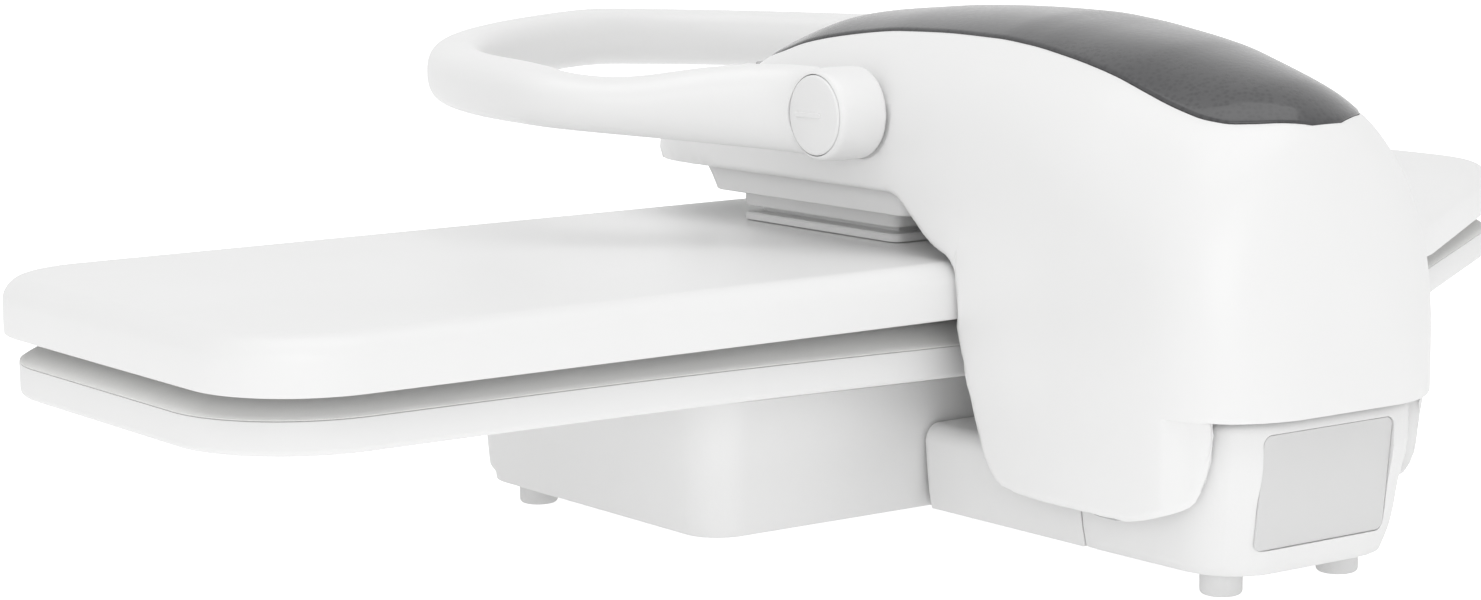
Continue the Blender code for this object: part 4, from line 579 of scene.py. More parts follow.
plate_low, plate_high = box_of("plate_housing")
PLATE_X = plate_high[0]
PLATE_Y = (plate_low[1] + plate_high[1]) / 2
PLATE_HALF = (plate_high[1] - plate_low[1]) / 2
PLATE_RIM_Z, PLATE_TOP_Z = plate_low[2], plate_high[2]
NOSE_START, NOSE_REAR_RADIUS, NOSE_SIDE_RADIUS = 0.169, 0.060, 0.055
PLATE_CORNER, BOARD_CORNER = 0.0385, 0.044
BOARD_HALF, MIDDLE_REACH = PLATE_HALF - 0.007, 0.23
SAG_DEPTH, SAG_REACH = 0.00265, 0.118
PAN_RIM_Z, PAN_TOP_Z, PAN_WALL = 0.0609, 0.0718, 0.0022
BASE_Z, HULL_HEIGHT = 0.0085, 0.0485
HULL = ((0.0, 0.0), (0.064, 0.15), (0.171, 0.36), (0.27, 0.485), (0.476, 0.667), (0.78, 1.0), (1.0, 1.0))
WALL, GAP = 0.0025, 0.0003


def plan(half, corner):
    """The plate's outline: a rectangle with its far rear corner cut away by a long slanting nose."""
    return rounded([(PLATE_X, PLATE_Y - half, corner), (PLATE_X, PLATE_Y + half, corner),
                    (-NOSE_START, PLATE_Y + half, NOSE_REAR_RADIUS), (-PLATE_X, PLATE_Y, NOSE_SIDE_RADIUS),
                    (-PLATE_X, PLATE_Y - half, corner)])


def closed(grid, low_steps, high_steps, middle=(0.0, PLATE_Y), reach=MIDDLE_REACH):
    """A stack of rings with its ends closed by rings that shrink to the middle line."""
    return np.concatenate((inward(grid[0], middle, reach, low_steps)[::-1], grid,
                           inward(grid[-1], middle, reach, high_steps)))


def sagged(grid, floor_z=BASE_Z, full_z=PAN_RIM_Z - WALL):
    """The board hangs lower over the middle of the base: a bell-shaped drop along X."""
    bent = grid.copy()
    drop = SAG_DEPTH * np.exp(-(grid[..., 0] / SAG_REACH) ** 2)
    bent[..., 2] -= drop * eased(floor_z, full_z, grid[..., 2])
    return bent


# Plate and board
PLATE_WALL, PLATE_EDGE = 0.0028, 0.008
plate_plan = plan(PLATE_HALF, PLATE_CORNER)
board_plan = plan(BOARD_HALF, BOARD_CORNER)
RIM_EDGE = 0.0009
levels = [(PLATE_TOP_Z - PLATE_WALL, PLATE_EDGE), (PLATE_TOP_Z - PLATE_EDGE, PLATE_WALL),
          (PLATE_RIM_Z + RIM_EDGE, PLATE_WALL), (PLATE_RIM_Z, PLATE_WALL - RIM_EDGE / 2)]
levels += rounded_foot(PLATE_RIM_Z, 0.0, RIM_EDGE, 3)
levels += [(PLATE_RIM_Z + RIM_EDGE, 0.0), (PLATE_TOP_Z - PLATE_EDGE, 0.0)]
levels += rounded_top(PLATE_TOP_Z, 0.0, PLATE_EDGE, 12) + [(PLATE_TOP_Z, PLATE_EDGE + 0.001)]
solid("press_plate_housing", [closed(levels_grid(plate_plan, levels), 10, 10)], "plate", "plate_housing")

PAN_EDGE = 0.0024
levels = [(PAN_RIM_Z + PAN_WALL, PAN_WALL + 0.001), (PAN_RIM_Z + PAN_WALL + 0.001, PAN_WALL),
          (PAN_TOP_Z - 0.0006, PAN_WALL), (PAN_TOP_Z, PAN_WALL - 0.0006), (PAN_TOP_Z, 0.0003),
          (PAN_TOP_Z - 0.0001, 0.0001), (PAN_TOP_Z - 0.0003, 0.0), (PAN_RIM_Z + PAN_EDGE, 0.0)]
levels += rounded_foot(PAN_RIM_Z, 0.0, PAN_EDGE, 6)[::-1] + [(PAN_RIM_Z, PAN_EDGE + 0.001)]
solid("board_pan_shell", [sagged(closed(levels_grid(board_plan, levels), 10, 10))], "base", "board_pan")

BOARD_TOP_Z = PLATE_RIM_Z - 0.0008
COVER_Z = PAN_RIM_Z + PAN_WALL + 0.0021
COVER_THICKNESS = 0.0009
IN_PAN = PAN_WALL + GAP
SLOPE_IN, SLOPE_BOW = 0.0098, 0.0006
SIDE_DROP, CREASE_DEPTH = 0.0008, 0.00035


def crowned(grid):
    """The padded top falls towards its long sides, with shallow creases that run in from the corners."""
    bent = sagged(grid)
    x, y, z = grid[..., 0], grid[..., 1], grid[..., 2]
    across = (y - PLATE_Y) / PLATE_HALF
    up = eased(PAN_TOP_Z, BOARD_TOP_Z - COVER_THICKNESS, z)
    near_end = np.exp(-((PLATE_X - np.abs(x)) / 0.045) ** 2)
    near_side = np.exp(-((1 - np.abs(across)) / 0.16) ** 2)
    creases = 0.5 + 0.5 * np.sin(across * 31 + np.sin(x * 47) * 1.7) * np.sin(x * 61 + across * 5)
    creased = CREASE_DEPTH * (near_end + 0.35 * near_side) * creases
    bent[..., 2] -= up * (SIDE_DROP * across * across + creased)
    return bent


def padded_levels(low_z, inset, top_z, fold=0.0):
    """Upright sides in the pan, a slope up and inwards where the pad presses, and a soft top edge."""
    start = inset - fold
    if fold:
        levels = [(low_z, inset), (PAN_TOP_Z + 0.0002, inset), (PAN_TOP_Z + 0.0002, start + 0.0001),
                  (PAN_TOP_Z + 0.0004, start)]
    else:
        levels = [(low_z, inset), (PAN_TOP_Z - 0.0004, inset)]
    levels += [(between(PAN_TOP_Z + 0.0007, top_z - 0.0012, share),
                start + 0.0001 + SLOPE_IN * share - SLOPE_BOW * math.sin(math.pi * share))
               for share in np.linspace(0, 1, 7)]
    levels += [(top_z - 0.0004, start + 0.0118), (top_z - 0.0001, start + 0.0140), (top_z, start + 0.0165)]
    return levels


def padded_grid(foot_steps, *levels, **options):
    """The outside of the pad or the cover, closed over the top and, with foot steps, below."""
    return closed(levels_grid(board_plan, padded_levels(*levels, **options)), foot_steps, 16)


cover_grid = padded_grid(0, COVER_Z, IN_PAN, BOARD_TOP_Z, fold=IN_PAN - 0.0001)
lining = padded_grid(0, COVER_Z, IN_PAN + COVER_THICKNESS, BOARD_TOP_Z - COVER_THICKNESS)
foam_grid = padded_grid(4, COVER_Z, IN_PAN + COVER_THICKNESS + GAP, BOARD_TOP_Z - COVER_THICKNESS - GAP)
cover = solid("board_cotton_cover", [np.concatenate((crowned(lining)[::-1], crowned(cover_grid)))],
              "base", "board_cover", "fabric")
foam = solid("board_foam", [crowned(foam_grid)], "base", "board_pad", "foam")


# Base
def hull(z):
    """How much of the housings' draft is spread at a height."""
    return steady(HULL, (np.asarray(z) - BASE_Z) / HULL_HEIGHT)


FRONT_X, FRONT_LIP, FRONT_LIP_Z, FRONT_DRAFT = 0.1348, 0.003, 0.0125, 0.003
FRONT_TOP_Z, FRONT_CORNER = PAN_RIM_Z - GAP, 0.0165
FRONT_AHEAD, FRONT_BEHIND = 0.081, 0.066
front_plan = rounded_box((-FRONT_X, PLATE_Y - FRONT_AHEAD), (FRONT_X, PLATE_Y + FRONT_BEHIND), FRONT_CORNER)


def front_shape(grid):
    """The top follows the board's sag, and above its lip the front wall stands further out."""
    bent = sagged(grid)
    out = FRONT_LIP * eased(FRONT_LIP_Z - 0.0012, FRONT_LIP_Z + 0.0012, grid[..., 2])
    bent[..., 1] -= np.where(grid[..., 1] < PLATE_Y, out, 0.0)
    return bent


heights = np.concatenate(([BASE_Z, BASE_Z + 0.0006], np.linspace(BASE_Z + 0.0012, FRONT_LIP_Z + 0.0012, 6),
                          np.linspace(0.0165, 0.050, 10)))
draft = FRONT_DRAFT * (1 - hull(heights)) + np.where(heights < BASE_Z + 0.0005, 0.0005, 0.0)
outside = np.stack((heights, draft), axis=1).tolist()
ledge_z = FRONT_TOP_Z - 0.0052
outside += [(ledge_z - 0.0010, 0.0), (ledge_z, 0.0), (ledge_z + 0.0004, 0.0007),
            (FRONT_TOP_Z - 0.0005, 0.0008), (FRONT_TOP_Z, 0.0013)]
inside = [(FRONT_TOP_Z - WALL, WALL + 0.001)]
inside += [(z, FRONT_DRAFT * (1 - hull(z)) + WALL) for z in heights[::-4]] + [(BASE_Z, FRONT_DRAFT + WALL)]
solid("front_base_housing", [front_shape(closed(levels_grid(front_plan, inside + outside), 6, 6))],
      "base", "front_housing")

STEM_HALF, STEM_DRAFT, STEM_TOP_Z, STEM_EDGE = 0.044, 0.004, 0.0385, 0.006


def stem_half(z):
    return STEM_HALF - STEM_DRAFT * (1 - hull(z))


def stem_section(shoulder_z, inset, edge):
    """Across the stem, from one lower edge over the rounded top to the other."""
    z = np.linspace(BASE_Z, shoulder_z, 9)
    rise, side = turn_in(edge, 8).T
    x = np.concatenate((stem_half(z), stem_half(shoulder_z) - side)) - inset
    z = np.concatenate((z, shoulder_z + rise))
    return np.concatenate((np.stack((x, z), axis=1), np.stack((-x, z), axis=1)[::-1]))


def stem_grid(y0, y1, wall):
    """The channel's outside and inside, as one closed tube of the section along Y."""
    outer = stem_section(STEM_TOP_Z - STEM_EDGE, 0.0, STEM_EDGE)
    inner = stem_section(STEM_TOP_Z - STEM_EDGE - wall, wall, STEM_EDGE)
    ring = np.concatenate((outer, inner[::-1]))
    y = np.array((y0, y0 + 0.0004, *np.linspace(y0 + 0.002, y1 - 0.002, 6), y1 - 0.0004, y1))
    squeeze = np.array((GAP, *([0.0] * (len(y) - 2)), GAP))
    flat = ring[None] - np.sign(ring - ring.mean(axis=0))[None] * squeeze[:, None, None]
    return np.stack((flat[..., 0], np.broadcast_to(y[:, None], flat.shape[:2]), flat[..., 1]), axis=2)


STEM_FRONT, STEM_REAR = PLATE_Y + 0.0667, PLATE_Y + 0.1457
stem = solid("middle_base_housing", [stem_grid(STEM_FRONT, STEM_REAR, WALL)], "base", "middle_housing")
GLAND_Y, GLAND_Z, GLAND_RADIUS = PLATE_Y + 0.088, 0.025, 0.006
gland_place = (-float(stem_half(GLAND_Z)), GLAND_Y, GLAND_Z)
cut(stem, "gland_bore", turned_grid([(GLAND_RADIUS + 0.0002, -0.01), (GLAND_RADIUS + 0.0002, 0.01)],
                                    gland_place, (-1, 0, 0)))

REAR_FRONT, REAR_REAR, REAR_HALF, REAR_DRAFT, REAR_CORNER = 0.146, 0.219, 0.046, 0.0065, 0.020
REAR_TOP_Z, REAR_EDGE = 0.0615, 0.006


def rear_wall(z):
    return PLATE_Y + REAR_REAR - REAR_DRAFT * (1 - float(hull(z)))


def rear_ring(z, inset):
    """The rear housing from above: as wide as the stem in front, and wider with round corners at the rear."""
    front_half, front_y = float(stem_half(z)), PLATE_Y + REAR_FRONT
    rear_half, rear_y = REAR_HALF - REAR_DRAFT * (1 - float(hull(z))), rear_wall(z)
    points, normals = rounded([(-front_half, front_y, 0.0012), (front_half, front_y, 0.0012),
                               (rear_half, rear_y, REAR_CORNER), (-rear_half, rear_y, REAR_CORNER)], arc=16)
    return points - normals * inset


rear_low = np.concatenate(([BASE_Z], np.linspace(BASE_Z + 0.0006, REAR_TOP_Z - REAR_EDGE, 14)))
rear_levels = [(REAR_TOP_Z - WALL, REAR_EDGE), (REAR_TOP_Z - REAR_EDGE, WALL), (0.035, WALL), (0.0165, WALL),
               (BASE_Z, WALL), (BASE_Z, 0.0006)]
rear_levels += [(z, 0.0) for z in rear_low[1:]] + rounded_top(REAR_TOP_Z, 0.0, REAR_EDGE, 8)
rear_middle = (0.0, PLATE_Y + (REAR_FRONT + REAR_REAR) / 2)
rear_grid = closed(ring_stack(rear_levels, rear_ring), 4, 4, rear_middle, 0.01)
rear_housing = solid("rear_base_housing", [rear_grid], "base", "rear_housing")

LABEL_X, LABEL_Z, LABEL_WIDTH, LABEL_HEIGHT, LABEL_CORNER = 0.0018, 0.036, 0.057, 0.0375, 0.003
LABEL_DEPTH, LABEL_THICKNESS = 0.0004, 0.0006


def on_rear_wall(flat, out):
    """Points (x, z) set on the leaning rear wall, and moved out from it."""
    low, high = LABEL_Z - LABEL_HEIGHT / 2, LABEL_Z + LABEL_HEIGHT / 2
    y = between(rear_wall(low), rear_wall(high), (flat[:, 1] - low) / LABEL_HEIGHT) + out
    return np.stack((flat[:, 0], y, flat[:, 1]), axis=1)


def label_rows(levels):
    middle, half = np.array((LABEL_X, LABEL_Z)), np.array((LABEL_WIDTH, LABEL_HEIGHT)) / 2
    points, normals = rounded_box(middle - half, middle + half, LABEL_CORNER, arc=8)
    return np.array([on_rear_wall(points - normals * inset, out) for out, inset in levels])


label_back = -LABEL_DEPTH - LABEL_THICKNESS
cut(rear_housing, "rating_pocket", label_rows([(label_back - 0.0002, -GAP), (0.010, -GAP)]))
solid("bare_rating_plate", [label_rows([(label_back, 0.0), (-LABEL_DEPTH - 0.0002, 0.0),
                                        (-LABEL_DEPTH - 0.00005, 0.0001), (-LABEL_DEPTH, 0.0004)])],
      "base", "rating_plate", "plate_grey")

FOOT_RADIUS, FOOT_EDGE = 0.0069, 0.0016
for name in FEET:
    low, high = box_of(name)
    x, y = (low[:2] + high[:2]) / 2
    tall = high[2] - low[2]
    profile = [(0.0, 0.0015), (0.0024, 0.0015), (0.0030, 0.0), (FOOT_RADIUS - FOOT_EDGE, 0.0)]
    profile += arc((FOOT_RADIUS - FOOT_EDGE, FOOT_EDGE), FOOT_EDGE, 0.2 - math.pi / 2, 0, 6)
    profile += [(FOOT_RADIUS, tall - GAP), (FOOT_RADIUS - GAP, tall), (0.0, tall)]
    solid("rubber_" + name, [turned_grid(profile, (x, y, low[2]), (0, 0, 1))], "base", name, "rubber",
          capped=False)

profile = [(0.0032, -0.0065), (GLAND_RADIUS, -0.0065), (GLAND_RADIUS, 0.0012), (0.0081, 0.0012),
           (0.0085, 0.0016), (0.0085, 0.0030), (0.0080, 0.0036), (GLAND_RADIUS, 0.0038)]
profile += [(0.0061 - 0.0001 * k + (0.0003 if k % 2 else -0.0002), 0.0045 + 0.0014 * k) for k in range(7)]
profile += [(0.0046, 0.0138), (0.0032, 0.0140)]
solid("cord_gland_sleeve", [turned_grid(profile, gland_place, (-1, 0, 0), 48)], "base", "cord_gland",
      "rubber", capped=False, cyclic=True)

# Arm
NOSE_REACH, ARM_REACH, ARM_HALF, ARM_WALL = 0.098, 0.226, 0.055, 0.003
CROWN_Z, SKIRT_Z, PANEL_Z, LEG_Z = 0.180, 0.119, 0.060, 0.0245
ARM_LENGTH = NOSE_REACH + ARM_REACH
NOSE_CURVE, NOSE_POWER, REAR_CURVE, REAR_POWER = 0.0485, 3.0, 0.0501, 3.5
CROWN = ((0.0, 0.688), (0.0123, 0.733), (0.0309, 0.789), (0.0525, 0.842), (0.0802, 0.852), (0.1111, 0.859),
         (0.1605, 0.874), (0.1850, 0.898), (0.2068, 0.918), (0.2500, 0.948), (0.3025, 0.974), (0.3735, 0.987),
         (0.4414, 0.996), (0.5401, 1.0), (0.60, 0.999), (0.65, 0.992), (0.70, 0.981), (0.74, 0.972),
         (0.78, 0.961), (0.815, 0.947), (0.85, 0.932), (0.88, 0.918), (0.905, 0.904), (0.925, 0.888),
         (0.945, 0.866), (0.96, 0.842), (0.972, 0.808), (0.982, 0.751), (0.99, 0.677), (0.995, 0.613),
         (1.0, 0.532))
plate_edge = PLATE_HALF + 0.0016
above_plate = PLATE_TOP_Z + 0.0029
leg_curve_start = plate_edge - 0.0416
leg_low_start = PLATE_HALF + 0.041
leg_low_end = leg_low_start + 0.038
leg_rear = leg_low_end + 0.0335
SHOULDER = ((0.12, 0.93), (0.31, 0.60), (0.55, 0.22), (0.71, 0.06))
FOOT_CURVE = ((0.065, 0.82), (0.125, 0.64), (0.165, 0.405), (0.27, 0.17), (0.50, 0.03))
HEEL = ((0.28, 0.05), (0.49, 0.11), (0.68, 0.18), (0.79, 0.256), (0.855, 0.346), (0.913, 0.473),
        (0.958, 0.642), (0.983, 0.823))
LOWER = [(-NOSE_REACH, SKIRT_Z), (leg_curve_start, SKIRT_Z)]
LOWER += [(between(leg_curve_start, plate_edge, s), between(above_plate, SKIRT_Z, r)) for s, r in SHOULDER]
around_x, around_z = plate_edge - PLATE_HALF + PLATE_EDGE, above_plate - PLATE_TOP_Z + PLATE_EDGE
LOWER += [(plate_edge - around_x * (1 - math.cos(a)), above_plate - around_z * (1 - math.sin(a)))
          for a in np.radians((80, 68, 56, 44, 32, 20))]
LOWER += [(plate_edge, above_plate - around_z), (plate_edge + 0.0003, PLATE_RIM_Z)]
LOWER += [(between(plate_edge, leg_low_start, s), between(LEG_Z, PLATE_RIM_Z, r)) for s, r in FOOT_CURVE]
LOWER += [(leg_low_start, LEG_Z), (leg_low_end, LEG_Z)]
LOWER += [(between(leg_low_end, leg_rear, s), between(LEG_Z, PANEL_Z, r)) for s, r in HEEL]
LOWER += [(leg_rear, PANEL_Z), (ARM_REACH, PANEL_Z)]
LEDGE, LEDGE_START, LEDGE_LENGTH = 0.003, leg_low_end + 0.0165, 0.010
RIM_ROUND, OPENING_ROUND, FLARE = 0.0022, 0.0007, 0.0035
ARCH_LOW, ARCH_TALL = 0.040, 0.0663


def arm_half(reach):
    """Half width from above: a superellipse round the nose, straight, and a squarer one round the rear."""
    nose = np.clip((NOSE_CURVE - NOSE_REACH - reach) / (NOSE_CURVE + 0.0003), 0, 1)
    rear = np.clip((reach - ARM_REACH + REAR_CURVE) / (REAR_CURVE + 0.0003), 0, 1)
    return (ARM_HALF * (1 - nose ** NOSE_POWER) ** (1 / NOSE_POWER)
            * (1 - rear ** REAR_POWER) ** (1 / REAR_POWER))


def crown_height(reach):
    return CROWN_Z * steady(CROWN, (reach + NOSE_REACH) / ARM_LENGTH)


def lower_edge(reach):
    return steady(LOWER, reach)


def flare(reach, z):
    """The sides stand out a little round the plate's rear edge and fade upwards and to the rear."""
    near = np.where(reach < plate_edge, eased(leg_curve_start, plate_edge, reach),
                    eased(plate_edge + 0.048, plate_edge, reach))
    return FLARE * near * eased(0.042, 0.066, z) * (1 - eased(PLATE_TOP_Z, 0.118, z))


def arch_form(reach, inset):
    """The arch's exponent, height, crown and half width, and the line where the legs begin."""
    change = eased(ARM_REACH - 0.113, ARM_REACH - 0.007, reach)
    crown = crown_height(reach) - inset
    middle = np.maximum(lower_edge(reach), PANEL_Z)
    height = np.minimum(between(ARCH_LOW, ARCH_TALL, change), crown - middle)
    return between(2.4, 2.0, change), height, crown, arm_half(reach) - inset, middle


def arch_angle(reach, x, inset):
    """The angle on the arch at which it is x wide."""
    power, _, _, half, _ = arch_form(reach, inset)
    return np.arcsin(np.clip(x / np.maximum(half, 1e-5), 0, 1) ** (power / 2))


def arm_place(reach, inset):
    """The place along Y, with the arm shortened by the inset at both ends."""
    squeeze = (ARM_LENGTH - 2 * inset) / ARM_LENGTH
    return PLATE_Y + (reach + NOSE_REACH) * squeeze - NOSE_REACH + inset


def arch_grid(reach, angle, inset):
    """x = a sin(t)^(2/p), z = crown - h + h cos(t)^(2/p), for each place along the arm."""
    power, height, crown, half = (part[:, None] for part in arch_form(reach, inset)[:4])
    x = half * np.sin(angle) ** (2 / power)
    z = crown - height + height * np.abs(np.cos(angle)) ** (2 / power)
    y = np.broadcast_to(arm_place(reach, inset)[:, None], x.shape)
    return np.stack((x, y, z), axis=2)


TEAR_FRONT, TEAR_REAR, TEAR_HALF = 0.081, ARM_REACH - 0.0118, 0.045
TEAR = ((0.0, 0.0), (0.004, 0.07), (0.020, 0.20), (0.07, 0.43), (0.14, 0.68), (0.19, 0.81), (0.225, 0.855),
        (0.265, 0.86), (0.31, 0.835), (0.36, 0.805), (0.43, 0.79), (0.505, 0.79), (0.61, 0.80),
        (0.745, 0.795), (0.86, 0.775), (0.915, 0.735), (0.945, 0.66), (0.968, 0.52), (0.984, 0.35),
        (0.994, 0.20), (0.999, 0.08), (1.0, 0.0))


def tear_half(reach):
    """Half width of the smoked cover: broad shoulders near the nose, long even sides and a blunt rear."""
    share = (reach + TEAR_FRONT) / (TEAR_REAR + TEAR_FRONT)
    inside = (share > 0) & (share < 1)
    return np.where(inside, TEAR_HALF * steady(TEAR, share), 0.0)


def edge_drop(distance, radius):
    """How far a round edge falls at a distance in from it."""
    left = np.clip(1 - distance / radius, 0, 1)
    return radius * (1 - np.sqrt(np.clip(1 - left * left, 0, 1)))


def arm_stations():
    """Places along the arm, closest together where its outlines turn."""
    whole = -NOSE_REACH + ARM_LENGTH * (1 - np.cos(np.linspace(0, math.pi, 120))) / 2
    leg = np.concatenate((np.linspace(leg_curve_start, leg_low_start, 70),
                          np.linspace(leg_low_start, leg_rear, 50)))
    share = np.concatenate(([0.0, 0.001, 0.003, 0.006, 0.011], np.linspace(0.02, 0.25, 14)))
    tear = np.concatenate((-TEAR_FRONT + (TEAR_REAR + TEAR_FRONT) * share,
                           TEAR_REAR - (TEAR_REAR + TEAR_FRONT) * share * 0.5))
    turn = plate_edge - around_x * (1 - np.cos(np.linspace(0.1, math.pi / 2, 16)))
    ends = (-TEAR_FRONT, TEAR_REAR, plate_edge, plate_edge + 0.0003, leg_rear)
    every = np.unique(np.round(np.concatenate((whole, leg, turn, tear, ends)), 6))
    kept = np.isin(every, np.round(ends, 6)) | (np.diff(every, prepend=-1.0) > 0.0003)
    return every[kept]


STATIONS = arm_stations()


def arm_side(reach, x_start, inset, arch=22, side=14, leg=12):
    """Half of a section at each place: from x_start over the arch, down the side, and down the leg."""
    height, crown, half, middle = arch_form(reach, inset)[1:]
    start = arch_angle(reach, x_start, inset)
    angle = start[:, None] + (math.pi / 2 - start)[:, None] * np.linspace(0, 1, arch)[None]
    top = arch_grid(reach, angle, inset)
    share = 1 - (1 - np.linspace(0, 1, side + 1)[1:]) ** 1.5
    z = between((crown - height)[:, None], middle[:, None], share)
    x = half[:, None] + flare(reach[:, None], z)
    low = lower_edge(reach)[:, None]
    legged = low < PANEL_Z - 0.0003
    share = 1 - (1 - np.linspace(0, 1, leg)) ** 1.5
    leg_z = np.where(legged, between(PANEL_Z - 0.0003, low, share), z[:, -1:])
    step = LEDGE * eased(LEDGE_START, LEDGE_START + LEDGE_LENGTH, reach)[:, None]
    leg_x = np.where(legged, half[:, None] - step + flare(reach[:, None], leg_z), x[:, -1:])
    z, x = np.concatenate((z, leg_z), axis=1), np.concatenate((x, leg_x), axis=1)
    y = np.broadcast_to(arm_place(reach, inset)[:, None], x.shape)
    return np.concatenate((top, np.stack((x, y, z), axis=2)), axis=1)


def rim_distance(grid):
    """Distance in side view from each point to the arm's lower edge."""
    reach = np.concatenate((np.linspace(-NOSE_REACH, ARM_REACH, 700), np.full(40, plate_edge + 0.00015)))
    edge = np.stack((PLATE_Y + reach, np.concatenate((lower_edge(reach[:700]),
                                                      np.linspace(PLATE_RIM_Z, above_plate - around_z, 40)))),
                    axis=1)
    flat = grid[..., 1:].reshape(-1, 2)
    near = np.concatenate([np.sqrt(((part[:, None] - edge[None]) ** 2).sum(axis=2)).min(axis=1)
                           for part in np.array_split(flat, 24)])
    return near.reshape(grid.shape[:2])


def shell_half():
    """Outside and inside of the shell's right half, with its lower rim and the opening's edge rounded."""
    start = tear_half(STATIONS)
    outer = arm_side(STATIONS, start, 0.0)
    inner = arm_side(STATIONS, start, ARM_WALL)
    outer[..., 0] = np.maximum(outer[..., 0] - edge_drop(rim_distance(outer), RIM_ROUND), 0.0)
    opened = (start > 0)[:, None]
    past = np.maximum(outer[..., 0] - start[:, None], 0.0)
    outer[..., 2] -= np.where(opened, edge_drop(past, OPENING_ROUND), 0.0)
    return outer, inner


def mirrored(grid):
    return grid * np.array((-1.0, 1.0, 1.0))


def to_middle(grid):
    return grid * np.array((0.0, 1.0, 1.0))


def seam(*rows):
    """A strip between rows of points."""
    return np.stack(rows, axis=1)


def shell_walls(outer, inner):
    """The walls that join outside and inside: along the lower edge and round the opening."""
    first, last = np.flatnonzero(tear_half(STATIONS))[[0, -1]]
    opened = slice(first - 1, last + 2)
    return [seam(outer[:, -1], inner[:, -1]), seam(outer[opened, 0], inner[opened, 0])]


def end_walls(outer, inner):
    """The flat ends at the nose and at the rear, from the middle line out to the sides."""
    return [seam(row, to_middle(row)) for row in (outer[0], outer[-1], inner[0], inner[-1])]


outer, inner = shell_half()
half_grids = [outer, inner, *shell_walls(outer, inner), *end_walls(outer, inner)]
low_ends = []
for end in (0, -1):
    pair = np.stack((outer[end, -1], inner[end, -1]))
    low_ends.append(seam(pair, to_middle(pair), mirrored(pair)))
shell = solid("arm_hood", half_grids + [mirrored(grid) for grid in half_grids] + low_ends, "arm",
              "arm_shell", capped=False, wrap=False, angle=50, merge=1e-5)

cover_stations = STATIONS[(STATIONS >= -TEAR_FRONT - 1e-6) & (STATIONS <= TEAR_REAR + 1e-6)]


def smoked_surface(inset, gap=0.0004, columns=33):
    """The arch between the opening's two edges, with its own edges rounded down."""
    half = np.maximum(tear_half(cover_stations) - gap, 0.0)
    limit = arch_angle(cover_stations, half, inset)
    share = np.sin(np.linspace(-math.pi / 2, math.pi / 2, columns))
    angle = limit[:, None] * share[None]
    grid = arch_grid(cover_stations, np.abs(angle), inset)
    grid[..., 2] -= edge_drop(half[:, None] - grid[..., 0], OPENING_ROUND)
    grid[..., 0] *= np.sign(angle)
    return grid


over, under = smoked_surface(0.0), smoked_surface(0.0026)
solid("smoked_tank_cover", [over, under, seam(over[:, 0], under[:, 0]), seam(over[:, -1], under[:, -1]),
                            seam(over[0], under[0]), seam(over[-1], under[-1])],
      "tank", "tank_cover", "smoked", capped=False, wrap=False, angle=50, merge=1e-5)

# Handle
HUB_REACH, HUB_Z, HUB_RADIUS, HUB_START, HUB_END = 0.047, 0.1455, 0.016, 0.0552, 0.068
RING_RADIUS, RING_END, CAP_RADIUS, CAP_END = 0.0155, 0.0748, 0.0137, 0.0758
HUB_EDGE, RING_EDGE, PIN_RADIUS = 0.0006, 0.0012, 0.0043
START_X, HANDLE_HALF, BEND_REACH, BEND_HALF = 0.0658, 0.1304, 0.0387, 0.1265
LOOP_FRONT, LOOP_WIDE, LOOP_TALL = 0.1985, 0.0190, 0.0228
LOOP_BEND_Z, LOOP_FRONT_Z = 0.1504, 0.1550
WAIST_PLACE, WAIST_SPREAD, WAIST_LESS, WAIST_LOWER = 0.215, 0.085, 0.0036, 0.0018


def loop_path(count=90):
    """From a hub: an eased swing outwards, then a quarter of an ellipse round the front; mirrored."""
    share = np.linspace(0, 1, count // 2, endpoint=False)
    near = np.stack((between(START_X, HANDLE_HALF, share * share * (3 - 2 * share)),
                     between(HUB_REACH - 0.011, -BEND_REACH, share),
                     between(HUB_Z, LOOP_BEND_Z, share)), axis=1)
    angle = np.linspace(0, math.pi / 2, count)
    far = np.stack((HANDLE_HALF - BEND_HALF + BEND_HALF * np.cos(angle),
                    -BEND_REACH - (LOOP_FRONT - BEND_REACH) * np.sin(angle),
                    between(LOOP_BEND_Z, LOOP_FRONT_Z, (1 - np.cos(angle)) ** 1.5)), axis=1)
    half = np.concatenate((near, far))
    path = np.concatenate((half, mirrored(half[::-1])))
    path[:, 1] += PLATE_Y
    for _ in range(6):
        path[1:-1] = (path[:-2] + 2 * path[1:-1] + path[2:]) / 4
    return path


loop = loop_path()
along_loop = np.concatenate(([0], np.cumsum(np.linalg.norm(np.diff(loop, axis=0), axis=1))))
place = 1 - np.abs(2 * along_loop / along_loop[-1] - 1)
front = eased(0.45, 0.85, place)
wide = between(between(0.0176, 0.0225, eased(0, 0.25, place)), LOOP_WIDE, front)
tall = between(between(0.0305, 0.0218, eased(0.0, 0.30, place)), LOOP_TALL, front)
waist = np.exp(-((place - WAIST_PLACE) / WAIST_SPREAD) ** 2)
tall -= WAIST_LESS * waist
loop[:, 2] -= WAIST_LOWER * waist
handle = solid("handle_grip", [swept_grid(loop, wide, tall, 2.6)], "handle", "handle_loop")


def on_hub(profile, start, side, count=72):
    """A profile turned about the hubs' axis, outwards from a distance on one side."""
    return turned_grid(profile, (side * start, PLATE_Y + HUB_REACH, HUB_Z), (side, 0, 0), count)


